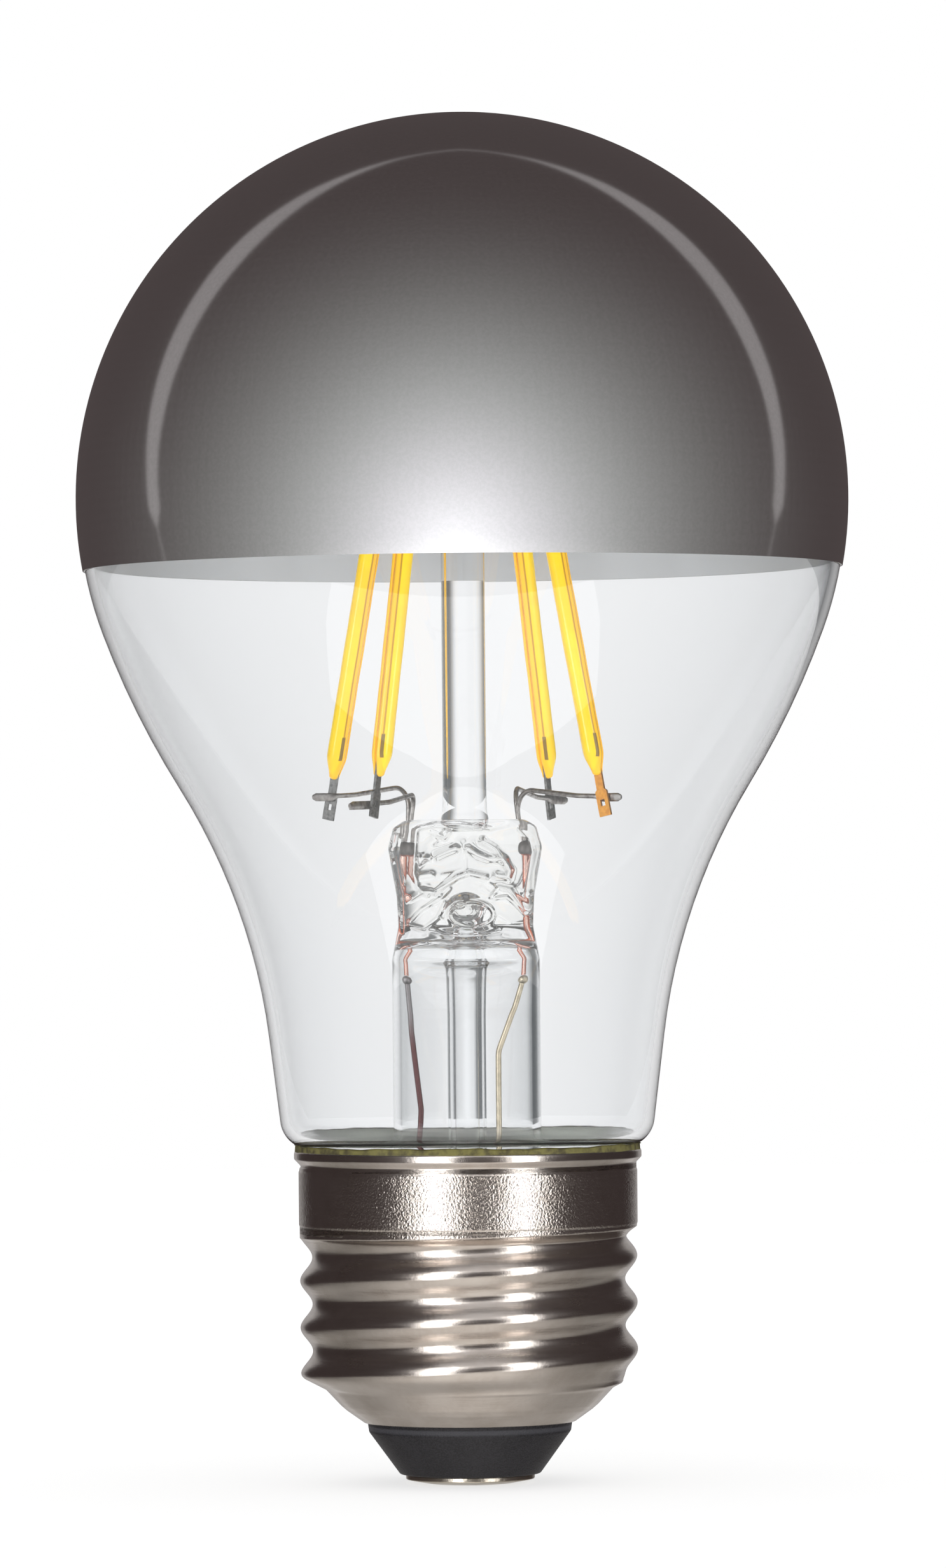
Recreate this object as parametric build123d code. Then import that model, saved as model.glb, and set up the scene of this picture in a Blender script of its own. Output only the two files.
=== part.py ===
from build123d import *

import os
from math import acos, asin, cos, degrees, radians, sin, sqrt, tan

# LED filament bulb with a mirrored crown and a 27 mm screw cap.
# Millimetres, +Z from the cap to the crown, origin at the centre of the contact's outer face, front at -Y.

# Glass bulb: crown, flank, neck, and the skirt that goes into the cap
bulb_radius = 29.85
glass_wall = 0.7
crown_sweep = 20.3
flank_radius = 67.0
neck_sweep_radius = 48.0
neck_taper = 7.1
neck_length = 6.75
shoulder_radius = 2.4
shoulder_angle = 60.0
neck_foot_radius = 2.3
skirt_length = 3.37
skirt_insertion = 4.7
cement_gap = 0.66

# Mirror coating
mirror_gap = 0.03
mirror_thickness = 0.15
mirror_drop = 5.35

# Stem of flare, tube and press
press_drop = 24.75
press_height = 8.4
stem_shoulder = 2.5
stem_tube_radius = 5.75
stem_wall = 0.65
press_base_width = 10.5
press_base_depth = 4.5
press_waist_rise = 2.4
press_waist_width = 10.7
press_waist_depth = 4.3
press_lobe_rise = 6.2
press_lobe_width = 12.0
press_lobe_depth = 5.2
press_brow_drop = 0.6
press_brow_width = 11.2
press_brow_depth = 4.7
press_crest_width = 9.8
press_crest_depth = 3.8
press_roundness = 0.72
press_floor = 1.3
exhaust_radius = 1.5
exhaust_bore = 0.9
exhaust_tip_length = 2.4
exhaust_tip_gap = 1.2
exhaust_port_rise = 1.6
rod_radius = 1.7
rod_foot_radius = 1.9
rod_foot_height = 0.9
rod_bead_radius = 2.2
rod_bead_cover = 1.7

# Filaments
first_filament_angle = 57.4
filament_base_radius = 12.2
filament_rise = 3.2
filament_lean = 11.6
filament_length = 36.0
strip_width = 1.3
strip_thickness = 0.22
big_bead_width = 1.6
big_bead_height = 0.85
small_bead_width = 1.45
small_bead_height = 0.5
tab_grip = 3.45
tab_reach = 3.15
tab_width = 0.65
tab_foot_width = 1.0
tab_foot_length = 2.1
tab_hole_width = 0.38
tab_hole_length = 0.5
tab_hole_inset = 1.05

# Wires
wire_radius = 0.19
wire_gap = 0.03
wire_pair_gap = 0.06
wire_approach = 2.4
wire_droop = 0.1
knot_depth = 2.3
knot_radius = 0.5
left_knot_inset = 1.55
right_knot_inset = 1.6
left_seal_shift = -0.1
right_seal_shift = -0.05
seal_bend = 3.0
seal_knot_drop = 4.0
seal_knot_radius = 0.42
lead_radius = 0.22
lead_bend = 2.0
top_weld_reach = 1.16
top_wire_spacing = 0.6
top_wire_overrun = 0.7
top_wire_bend = 1.2

# Screw shell
sheet_thickness = 0.3
shell_height = 20.85
thread_major_radius = 13.1
thread_depth = 0.95
thread_pitch = 3.629
thread_turns = 4.5
thread_crests_above = 1
top_crest_drop = 1.45
thread_room = 0.5
thread_entry_slope = 0.52
thread_runout = 14.0
thread_toe = 0.02
thread_root = 0.25
thread_seam_turn = 40.0
bowl_step = 1.3
bowl_width = 2.6
bowl_height = 2.4
collar_step = 0.06
collar_length = 6.6
collar_straight = 5.2
groove_depth = 0.24
groove_drop = 1.0
lip_flare = 0.34
lip_straight = 0.4
lip_roll_radius = 0.26
lip_roll_proud = 0.1
shell_bends = (1.0, 0.4, 0.4, 0.2, 0.2, 0.2)
bowl_bends = (0.4, 0)

# Capping cement
cement_depth = 3.6
cement_rise = 0.8
cement_setback = 0.05
cement_edge = 0.25

# Insulator and centre contact
contact_height = 0.7
contact_margin = 0.45
contact_flat_radius = 3.4
contact_dome = 0.3
contact_shank_radius = 1.5
contact_head_radius = 2.1
contact_head_height = 0.35
contact_pocket_depth = 3.0
insulator_foot_radius = 5.45
insulator_cone_height = 4.05
insulator_bevel = 0.6
insulator_depth = 1.6

# Driver in the cap
board_rise = 8.45
board_thickness = 1.0
board_clearance = 0.25
component_chamfer = 0.3
bridge_size = (4.7, 3.9, 1.6)
bridge_spot = (6.2, -4.2)
chip_size = (4.9, 3.9, 1.5)
chip_spot = (-6.2, -4.0)
capacitor_radius = 3.15
capacitor_length = 5.2
capacitor_groove = 0.3
capacitor_spot = (5.0, 2.0)
inductor_radius = 2.6
inductor_core_radius = 1.7
inductor_length = 4.6
inductor_flange = 0.8
winding_inset = 0.25
inductor_spot = (-4.8, 3.0)
resistor_radius = 1.1
resistor_waist_radius = 0.85
resistor_length = 4.6
resistor_cap_length = 0.9
resistor_edge = 0.2
resistor_lead_radius = 0.3
neutral_lead_spot = 10.4
neutral_lead_tail = 3.9
neutral_lead_bends = (1.0, 0.8)

# Radii that follow from the sizes above
thread_minor_radius = thread_major_radius - thread_depth
bowl_radius = thread_minor_radius - bowl_step
foot_corner = bowl_radius - bowl_width
collar_radius = thread_major_radius + collar_step
groove_radius = collar_radius - groove_depth
lip_radius = collar_radius + lip_flare
cement_radius = lip_radius - cement_setback
skirt_radius = collar_radius - sheet_thickness - cement_gap
insulator_rim_radius = foot_corner - sheet_thickness
contact_radius = insulator_foot_radius - contact_margin
half_strip = strip_thickness / 2

# Heights of the cap that follow
shell_foot = contact_height + insulator_cone_height
bowl_top = shell_foot + bowl_height
shell_top = shell_foot + shell_height
lip_height = shell_top - lip_straight
groove_height = shell_top - groove_drop
collar_start = shell_top - collar_length
collar_end = collar_start + collar_straight
thread_right_crest = collar_start - top_crest_drop
seal_height = shell_top - skirt_insertion
board_height = shell_foot + board_rise
board_top = board_height + board_thickness

# The flank's slope, which brings the bulb's line in to the skirt, and the drop from the crown's centre to it
crown_slope = radians(crown_sweep)
neck_slope = radians(neck_taper)
shoulder_slope = radians(shoulder_angle)
neck_reach = neck_length * sin(neck_slope) + neck_sweep_radius * cos(neck_slope)
shoulder_reach = shoulder_radius * (cos(neck_slope) - cos(shoulder_slope))
foot_reach = neck_foot_radius * (1 - cos(shoulder_slope))
flank_reach = (flank_radius - bulb_radius) * cos(crown_slope)
full_reach = skirt_radius + foot_reach + shoulder_reach + neck_reach + flank_reach
flank_slope = acos(full_reach / (flank_radius + neck_sweep_radius))
flank_angle = degrees(flank_slope)
crown_drop = (
    (bulb_radius - flank_radius) * sin(crown_slope)
    + (flank_radius + neck_sweep_radius) * sin(flank_slope)
    - neck_sweep_radius * sin(neck_slope)
    + neck_length * cos(neck_slope)
    + shoulder_radius * (sin(shoulder_slope) - sin(neck_slope))
    + neck_foot_radius * sin(shoulder_slope)
)

# Heights of the glass and of what it holds
crown_centre = seal_height + skirt_length + crown_drop
overall_height = crown_centre + bulb_radius
press_top = crown_centre - press_drop
press_base = press_top - press_height
stem_tube_top = press_base - stem_shoulder
exhaust_tip = board_top + exhaust_tip_gap
filament_base_height = press_top + filament_rise
top_wire_height = filament_base_height + (filament_length + top_weld_reach) * cos(radians(filament_lean))
rod_top = top_wire_height + rod_bead_cover
knot_height = press_top - knot_depth
seal_knot_height = press_base - seal_knot_drop
left_knot = left_knot_inset - press_lobe_width / 2
right_knot = press_lobe_width / 2 - right_knot_inset

# The four filaments by their place round the axis, seen from the front, with the bends of their support wires
FILAMENTS = {
    "rear_right": {"turn": 0, "bead_side": -1, "lean_in": 0.53, "bend_drop": 0.7, "weld_drop": 1.4,
                   "overrun": 2.1, "bend_radius": 1.2},
    "rear_left": {"turn": 1, "bead_side": 1, "lean_in": 0.15, "bend_drop": 0.5, "weld_drop": 1.15,
                  "overrun": 1.6, "bend_radius": 1.6},
    "front_left": {"turn": 2, "bead_side": 1, "lean_in": 0.55, "bend_drop": 1.2, "weld_drop": 1.9,
                   "overrun": 3.0, "bend_radius": 0.9},
    "front_right": {"turn": 3, "bead_side": -1, "lean_in": 0.53, "bend_drop": 0.8, "weld_drop": 1.5,
                    "overrun": 1.5, "bend_radius": 1.7},
}

# The loose bends of the two outer leads: shifts to the right and to the back, share of the way to the board
LEAD_BENDS = {
    "left": [(0.25, 0, 0.17), (0.95, 0.2, 0.41), (0.7, 0.3, 0.59), (0.7, 0.3, 1)],
    "right": [(-0.6, 0, 0.09), (-1.9, -0.2, 0.23), (-1.9, -0.2, 1)],
}


def profile_face(*edges):
    """Face of a closed outline drawn as radius and height."""
    return Plane.XZ * make_face(list(edges))


def turned(points):
    """Solid of revolution about the bulb's axis from a closed list of corners."""
    return revolve(Plane.XZ * make_face(Polyline(*points, close=True)), Axis.Z)


def block(low, high):
    """Box between two corners."""
    size = [top - bottom for bottom, top in zip(low, high)]
    return Pos(*low) * Box(*size, align=(Align.MIN, Align.MIN, Align.MIN))


def turned_block(radius, low, high):
    """Cylinder on the axis between two heights."""
    return Pos(0, 0, low) * Cylinder(radius, high - low, align=(Align.CENTER, Align.CENTER, Align.MIN))


def swept_wire(points, radii, radius):
    """Round wire along straight runs joined by tangent arcs."""
    path = FilletPolyline(*points, radius=radii)
    start = Plane(origin=path @ 0, z_dir=path % 0)
    return sweep(start * Circle(radius), path=path)


# Glass bulb and its mirror


def glass_line(inset):
    """Tangent arcs from the crown's top to the neck's end, moved inwards by the inset."""
    crown = JernArc((0, overall_height - inset), (1, 0), bulb_radius - inset, -(90 + crown_sweep))
    flank = JernArc(crown @ 1, crown % 1, flank_radius - inset, crown_sweep - flank_angle)
    sweep_in = JernArc(flank @ 1, flank % 1, neck_sweep_radius + inset, flank_angle - neck_taper)
    neck = Line(sweep_in @ 1, (sweep_in @ 1) + (sweep_in % 1) * neck_length)
    shoulder = JernArc(neck @ 1, neck % 1, shoulder_radius - inset, neck_taper - shoulder_angle)
    foot = JernArc(shoulder @ 1, shoulder % 1, neck_foot_radius + inset, shoulder_angle)
    end = Line(foot @ 1, ((foot @ 1).X, seal_height))
    return [crown, flank, sweep_in, neck, shoulder, foot, end]


def glass_body():
    """The bulb as if it were solid glass."""
    line = glass_line(0)
    close = [Line(line[-1] @ 1, (0, seal_height)), Line((0, seal_height), (0, overall_height))]
    return revolve(profile_face(*line, *close), Axis.Z)


def glass_bulb():
    outer = glass_line(0)
    inner = glass_line(glass_wall)
    ends = [Line(outer[0] @ 0, inner[0] @ 0), Line(outer[-1] @ 1, inner[-1] @ 1)]
    return revolve(profile_face(*outer, *inner, *ends), Axis.Z)


def mirror_crown():
    """Coating on the outside of the crown, down to a little below the widest place."""
    def cap_arc(radius):
        sweep_angle = 90 + degrees(asin(mirror_drop / bulb_radius))
        return JernArc((0, crown_centre + radius), (1, 0), radius, -sweep_angle)

    inner = cap_arc(bulb_radius + mirror_gap)
    outer = cap_arc(bulb_radius + mirror_gap + mirror_thickness)
    ends = [Line(inner @ 0, outer @ 0), Line(inner @ 1, outer @ 1)]
    return revolve(profile_face(inner, outer, *ends), Axis.Z)


# Stem


def flare_line(inset):
    """Outer line of the stem tube, flaring out to the neck's end."""
    reach = skirt_radius - glass_wall - stem_tube_radius
    radius = stem_tube_radius - inset
    tube = Line((radius, stem_tube_top), (radius, seal_height + reach))
    curve = JernArc(tube @ 1, (0, -1), reach + inset, 90)
    rim = Line(curve @ 1, (skirt_radius, (curve @ 1).Y))
    return [tube, curve, rim]


def stem_flare():
    outer = flare_line(0)
    inner = flare_line(stem_wall)
    ends = [Line(outer[0] @ 0, inner[0] @ 0), Line(outer[-1] @ 1, inner[-1] @ 1)]
    return revolve(profile_face(*outer, *inner, *ends), Axis.Z)


def press_section(height, width, depth):
    """Rounded section of the pinched glass."""
    return Plane.XY.offset(height) * RectangleRounded(width, depth, press_roundness * depth / 2)


def press_block():
    """The pinched slab: a waist, two soft lobes at its sides and a narrower crest."""
    return loft([
        press_section(press_base, press_base_width, press_base_depth),
        press_section(press_base + press_waist_rise, press_waist_width, press_waist_depth),
        press_section(press_base + press_lobe_rise, press_lobe_width, press_lobe_depth),
        press_section(press_top - press_brow_drop, press_brow_width, press_brow_depth),
        press_section(press_top, press_crest_width, press_crest_depth),
    ])


def shoulder_loft(inset, top):
    """Body between the round tube and the flat press."""
    low = Plane.XY.offset(stem_tube_top) * Circle(stem_tube_radius - inset)
    high = press_section(top, press_base_width - 2 * inset, press_base_depth - 2 * inset)
    return loft([low, high])


def stem_glass(inner_wires):
    """Flare, tube and press in one piece, with its wires fused in."""
    floor = press_base - press_floor
    stem = stem_flare() + shoulder_loft(0, press_base) + press_block()
    stem -= shoulder_loft(stem_wall, floor)
    port_height = press_base + exhaust_port_rise
    stem -= turned_block(exhaust_bore, floor - press_floor, port_height)
    port = Cylinder(exhaust_bore, press_base_depth, align=(Align.CENTER, Align.CENTER, Align.MIN))
    stem -= Pos(0, 0, port_height) * Rot(90, 0, 0) * port
    for wire in inner_wires:
        stem -= wire
    return stem


def exhaust_tube():
    """Thin pump tube, melted shut at its tip."""
    top = press_base - press_floor
    tip = exhaust_tip + exhaust_tip_length
    outer = Line((exhaust_radius, top), (exhaust_radius, tip))
    point = Spline(outer @ 1, (0, exhaust_tip), tangents=((0, -1), (-1, 0)))
    bore = Polyline((0, exhaust_tip), (0, tip), (exhaust_bore, tip + exhaust_bore), (exhaust_bore, top))
    rim = Line((exhaust_bore, top), (exhaust_radius, top))
    return revolve(profile_face(outer, point, bore, rim), Axis.Z)


def centre_rod(inner_wires):
    """Glass rod on the press, with a bead at its top that holds the top wires."""
    bead_centre = rod_top - rod_bead_radius
    foot = turned([
        (0, press_top),
        (rod_foot_radius, press_top),
        (rod_radius, press_top + rod_foot_height),
        (0, press_top + rod_foot_height),
    ])
    rod = foot + turned_block(rod_radius, press_top, bead_centre)
    rod += Pos(0, 0, bead_centre) * Sphere(rod_bead_radius)
    for wire in inner_wires:
        rod -= wire
    return rod


# Filaments


def filament_angle(place):
    return first_filament_angle + 90 * FILAMENTS[place]["turn"]


def filament_frame(place):
    """Frame at the filament's foot: X outwards, Y round the axis, Z along the filament."""
    angle, lean = radians(filament_angle(place)), radians(filament_lean)
    outwards = Vector(cos(angle), sin(angle), 0)
    up = Vector(0, 0, 1)
    origin = outwards * filament_base_radius + up * filament_base_height
    along = up * cos(lean) - outwards * sin(lean)
    across = outwards * cos(lean) + up * sin(lean)
    return Plane(origin=origin, x_dir=across, z_dir=along)


def filament_radius_at(height):
    return filament_base_radius + (filament_base_height - height) * tan(radians(filament_lean))


def filament_strip(place):
    length = filament_length - 2 * tab_grip
    strip = Pos(0, 0, filament_length / 2) * Box(strip_width, strip_thickness, length)
    return filament_frame(place).location * strip


def phosphor_bead(place, side, width, height):
    """Silicone bead on one face of the strip: a slice of a long capsule."""
    radius = (width**2 / 4 + height**2) / (2 * height)
    middle = side * (half_strip + height - radius)
    capsule = Pos(0, 0, radius) * Cylinder(
        radius, filament_length - 2 * radius, align=(Align.CENTER, Align.CENTER, Align.MIN)
    )
    capsule += Pos(0, 0, radius) * Sphere(radius)
    capsule += Pos(0, 0, filament_length - radius) * Sphere(radius)
    near, far = sorted((side * half_strip, side * (half_strip + height)))
    slab = block((-radius, near, 0), (radius, far, filament_length))
    return filament_frame(place).location * (Pos(0, middle, 0) * capsule & slab)


def end_tab():
    """Flat terminal with a wide foot and a punched hole, its grip inside the bead."""
    narrow, wide = tab_width / 2, tab_foot_width / 2
    foot_top = tab_foot_length - tab_reach
    slope = wide - narrow
    side = [(wide, -tab_reach), (wide, foot_top - slope), (narrow, foot_top), (narrow, tab_grip)]
    face = make_face(Polyline(*side, *[(-x, z) for x, z in reversed(side)], close=True))
    hole_centre = tab_hole_inset - tab_reach
    face -= Pos(0, hole_centre) * Rectangle(tab_hole_width, tab_hole_length)
    return extrude(Plane.XZ * face, half_strip, both=True)


def lower_tab(place):
    return filament_frame(place).location * end_tab()


def upper_tab(place):
    tab = Pos(0, 0, filament_length) * end_tab().mirror(Plane.XY)
    return filament_frame(place).location * tab


# Wires


def beside_filament(place, radius, side, height):
    """Point that lies against one face of a filament's tab, at a radius and a height."""
    angle = radians(filament_angle(place))
    offset = side * (half_strip + wire_radius + wire_gap)
    x = radius * cos(angle) - offset * sin(angle)
    y = radius * sin(angle) + offset * cos(angle)
    return Vector(x, y, height)


def support_wire(place):
    """Wire from the knot in the press, bent over and welded across a lower tab."""
    bends = FILAMENTS[place]
    knot, lean_in = (left_knot, bends["lean_in"]) if "left" in place else (right_knot, -bends["lean_in"])
    x = knot + lean_in
    rear = 1 if place.startswith("rear") else -1
    y = rear * (wire_radius + wire_pair_gap / 2)
    angle = radians(filament_angle(place))
    side = 1 if y * cos(angle) - x * sin(angle) > 0 else -1
    weld_height = filament_base_height - bends["weld_drop"]
    weld_radius = filament_radius_at(weld_height)
    overrun = bends["overrun"]
    points = [
        (knot, y, knot_height + knot_radius + wire_gap),
        (x, y, filament_base_height - bends["bend_drop"]),
        beside_filament(place, weld_radius - wire_approach, side, weld_height),
        beside_filament(place, weld_radius + overrun, side, weld_height - overrun * wire_droop),
    ]
    return swept_wire(points, [bends["bend_radius"], wire_approach], wire_radius)


def seal_wire(knot, shift):
    """Copper-clad wire through the press, with the weld knot at its top."""
    foot = knot + shift
    top = (knot, 0, knot_height)
    middle = (foot, 0, (knot_height + seal_knot_height) / 2)
    end = (foot, 0, seal_knot_height + seal_knot_radius + wire_gap)
    wire = swept_wire([top, middle, end], [seal_bend], wire_radius)
    return wire + Pos(*top) * Sphere(knot_radius)


def outer_lead(foot, bends):
    """Lead from the weld below the press, loosely down the stem tube to the driver board."""
    points = [(foot, 0, seal_knot_height)]
    for right, back, share in bends:
        points.append((foot + right, back, seal_knot_height + (board_top - seal_knot_height) * share))
    wire = swept_wire(points, [lead_bend] * (len(points) - 2), lead_radius)
    return wire + Pos(*points[0]) * Sphere(seal_knot_radius)


def top_wire(first, second, rise):
    """Bent wire through the rod's bead that joins the upper tabs of two filaments."""
    height = top_wire_height + rise
    reach = filament_radius_at(height) + tab_foot_width / 2 + top_wire_overrun
    points = [
        beside_filament(first, reach, -1, height),
        beside_filament(first, 0, -1, height) + beside_filament(second, 0, 1, height) - Vector(0, 0, height),
        beside_filament(second, reach, 1, height),
    ]
    return swept_wire(points, [top_wire_bend], wire_radius)


# Screw cap


def offset_corners(corners, distance):
    """Corners of an open outline moved to its left-hand side by a distance, with mitred joints."""
    def normal(a, b):
        dx, dy = b[0] - a[0], b[1] - a[1]
        length = sqrt(dx * dx + dy * dy)
        return (-dy / length, dx / length)

    normals = [normal(a, b) for a, b in zip(corners, corners[1:])]
    normals = [normals[0], *normals, normals[-1]]
    moved = []
    for (x, y), (ax, ay), (bx, by) in zip(corners, normals, normals[1:]):
        scale = distance / (1 + ax * bx + ay * by)
        moved.append((x + (ax + bx) * scale, y + (ay + by) * scale))
    return moved


def turned_outline(line, radii, inset):
    """Solid inside an open outline that starts and ends level with the axis, moved in by the inset."""
    moved = offset_corners(line, inset)
    moved[0] = (moved[0][0], line[0][1])
    moved[-1] = (moved[-1][0], line[-1][1])
    outline = FilletPolyline(*moved, radius=radii)
    closing = Polyline(outline @ 1, (0, (outline @ 1).Y), (0, (outline @ 0).Y), outline @ 0)
    return revolve(profile_face(outline, closing), Axis.Z)


def collar_corners():
    """The shell's plain collar, the groove under its lip and the flared lip."""
    return [
        (collar_radius, collar_end),
        (groove_radius, groove_height),
        (lip_radius, lip_height),
        (lip_radius, shell_top),
    ]


def shell_core(inset):
    """The screw shell as a solid, its thread zone at the valley radius."""
    slope = bowl_height / (bowl_radius - foot_corner)
    thread_floor = bowl_top + (thread_minor_radius - bowl_radius) * slope
    step = collar_radius - thread_minor_radius
    corners = [
        (foot_corner, shell_foot),
        (thread_minor_radius, thread_floor),
        (thread_minor_radius, collar_start),
        (collar_radius, collar_start + step),
        *collar_corners(),
    ]
    return turned_outline(corners, shell_bends, inset)


def thread_envelope(inset):
    """Room for the rolled thread: open at its crests, closed in by the cone of the shell's bowl."""
    beyond = thread_major_radius + thread_room
    corners = [
        (foot_corner, shell_foot),
        (bowl_radius, bowl_top),
        (beyond, bowl_top + (beyond - bowl_radius) * thread_entry_slope),
        (beyond, shell_top),
    ]
    return turned_outline(corners, bowl_bends, inset)


def thread_ridge(inset):
    """Round helical ridge; its section is a crest arc between two hollow arcs that run out to the core."""
    depth = thread_major_radius - thread_minor_radius
    half_pitch = thread_pitch / 2
    arc_radius = (half_pitch**2 + depth**2) / (4 * depth)
    flank = degrees(asin(half_pitch / 2 / arc_radius))
    core = thread_minor_radius - inset
    crest = JernArc((thread_major_radius - inset, 0), (0, -1), arc_radius - inset, -flank)
    hollow = JernArc(crest @ 1, crest % 1, arc_radius + inset, flank - thread_runout)
    toe_drop = (hollow @ 1).X - core + thread_toe
    toe = (hollow @ 1) + (hollow % 1) * (toe_drop / sin(radians(thread_runout)))
    root = core - thread_root
    base = Polyline(hollow @ 1, toe, (root, toe.Y), (root, 0), crest @ 0)
    half = make_face([crest, hollow, base])
    face = half + mirror(half, Plane.XZ)
    path = Helix(thread_pitch, thread_pitch * thread_turns, core)
    ridge = sweep(Plane.XZ * face, path=path, is_frenet=True)
    start = thread_right_crest - thread_pitch * (thread_turns - thread_crests_above)
    return Pos(0, 0, start) * Rot(0, 0, -360 * (thread_turns % 1)) * ridge


def threaded_solid(inset):
    """The screw shell's outside, or with an inset its inside, as a solid."""
    seam = Rot(0, 0, thread_seam_turn)
    ridge = thread_ridge(inset) & (seam * thread_envelope(inset))
    return seam * shell_core(inset) + ridge


def lip_roll():
    """The rolled edge round the shell's mouth."""
    centre = lip_radius - lip_roll_radius + lip_roll_proud
    circle = Pos(centre, shell_top - lip_roll_radius) * Circle(lip_roll_radius)
    return revolve(Plane.XZ * circle, Axis.Z)


def screw_shell():
    return threaded_solid(0) - threaded_solid(sheet_thickness) + lip_roll()


def capping_cement():
    """Ring of cement between the glass neck and the shell's collar, standing proud of the lip."""
    top = shell_top + cement_rise
    bottom = shell_top - cement_depth
    inside = shell_core(sheet_thickness) & turned_block(lip_radius, bottom, shell_top)
    overflow = turned([
        (0, shell_top),
        (cement_radius, shell_top),
        (cement_radius, top - cement_edge),
        (cement_radius - cement_edge, top),
        (0, top),
    ])
    return inside + overflow - glass_body() - lip_roll()


def insulator():
    """Black glass cone that fills the shell's foot and carries the contact."""
    rim = shell_foot - insulator_bevel
    cone = turned([
        (0, contact_height),
        (insulator_foot_radius, contact_height),
        (insulator_rim_radius - insulator_bevel / 2, rim),
        (insulator_rim_radius, shell_foot),
        (0, shell_foot),
    ])
    plug = shell_core(sheet_thickness) & turned_block(bowl_radius, shell_foot, shell_foot + insulator_depth)
    return cone + plug - turned_block(contact_shank_radius, 0, shell_foot + insulator_depth)


def centre_contact():
    """Domed disc with a hollow shank, riveted over on the insulator's inner face."""
    head = shell_foot + insulator_depth
    top = head + contact_head_height
    flat = Line((0, 0), (contact_flat_radius, 0))
    dome = TangentArc(flat @ 1, (contact_radius, contact_dome), tangent=(1, 0))
    shank = Polyline(
        dome @ 1,
        (contact_radius, contact_height),
        (contact_shank_radius, contact_height),
        (contact_shank_radius, head),
        (contact_head_radius, head),
        (contact_head_radius, top),
        (resistor_lead_radius + wire_gap, top),
        (resistor_lead_radius + wire_gap, top - contact_pocket_depth),
        (0, top - contact_pocket_depth),
        (0, 0),
    )
    return revolve(profile_face(flat, dome, shank), Axis.Z)


# Driver in the cap


def driver_board(leads):
    """Round circuit board held in the shell, bored for the leads that pass through it."""
    radius = thread_minor_radius - sheet_thickness - board_clearance
    board = turned_block(radius, board_height, board_top)
    for lead in leads:
        board -= lead
    return board


def component_block(size, spot):
    """Moulded part on top of the board, its upper edges softened."""
    body = Pos(*spot, board_top) * Box(*size, align=(Align.CENTER, Align.CENTER, Align.MIN))
    return chamfer(body.edges().group_by(Axis.Z)[-1], component_chamfer)


def smoothing_capacitor():
    """Electrolytic can that hangs under the board, with its crimped waist."""
    waist = capacitor_radius - capacitor_groove
    low = -capacitor_length
    can = turned([
        (0, 0),
        (capacitor_radius, 0),
        (capacitor_radius, -capacitor_groove),
        (waist, -2 * capacitor_groove),
        (waist, -3 * capacitor_groove),
        (capacitor_radius, -4 * capacitor_groove),
        (capacitor_radius, low + capacitor_groove),
        (capacitor_radius - capacitor_groove, low),
        (0, low),
    ])
    return Pos(*capacitor_spot, board_height) * can


def inductor():
    """Drum core with its winding between two flanges, under the board."""
    core = turned([
        (0, 0),
        (inductor_radius, 0),
        (inductor_radius, -inductor_flange),
        (inductor_core_radius, -inductor_flange),
        (inductor_core_radius, inductor_flange - inductor_length),
        (inductor_radius, inductor_flange - inductor_length),
        (inductor_radius, -inductor_length),
        (0, -inductor_length),
    ])
    return Pos(*inductor_spot, board_height) * core


def inductor_winding():
    height = inductor_length - 2 * inductor_flange
    outer = Cylinder(inductor_radius - winding_inset, height) - Cylinder(inductor_core_radius, height)
    return Pos(*inductor_spot, board_height - inductor_length / 2) * outer


def fusible_resistor():
    """Axial resistor whose lower lead ends in the contact's shank and whose upper lead meets the board."""
    bottom = shell_foot + insulator_depth + contact_head_height - contact_pocket_depth + wire_gap
    top = board_height
    low = (bottom + contact_pocket_depth + top - resistor_length) / 2
    high = low + resistor_length
    return turned([
        (0, bottom),
        (resistor_lead_radius, bottom),
        (resistor_lead_radius, low),
        (resistor_radius, low + resistor_edge),
        (resistor_radius, low + resistor_cap_length),
        (resistor_waist_radius, low + resistor_cap_length + resistor_edge),
        (resistor_waist_radius, high - resistor_cap_length - resistor_edge),
        (resistor_radius, high - resistor_cap_length),
        (resistor_radius, high - resistor_edge),
        (resistor_lead_radius, high),
        (resistor_lead_radius, top),
        (0, top),
    ])


def neutral_lead():
    """Wire from the board to the inside of the shell's collar."""
    collar = collar_radius - sheet_thickness - lead_radius - wire_gap
    under_glass = seal_height - stem_wall - skirt_radius
    over_shell = collar_start - thread_minor_radius + sheet_thickness
    rise = (under_glass + over_shell) / 2
    points = [
        (0, neutral_lead_spot, board_top + wire_gap),
        (0, neutral_lead_spot, neutral_lead_spot + rise),
        (0, collar, collar + rise),
        (0, collar, shell_top - neutral_lead_tail),
    ]
    return swept_wire(points, neutral_lead_bends, lead_radius)


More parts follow.
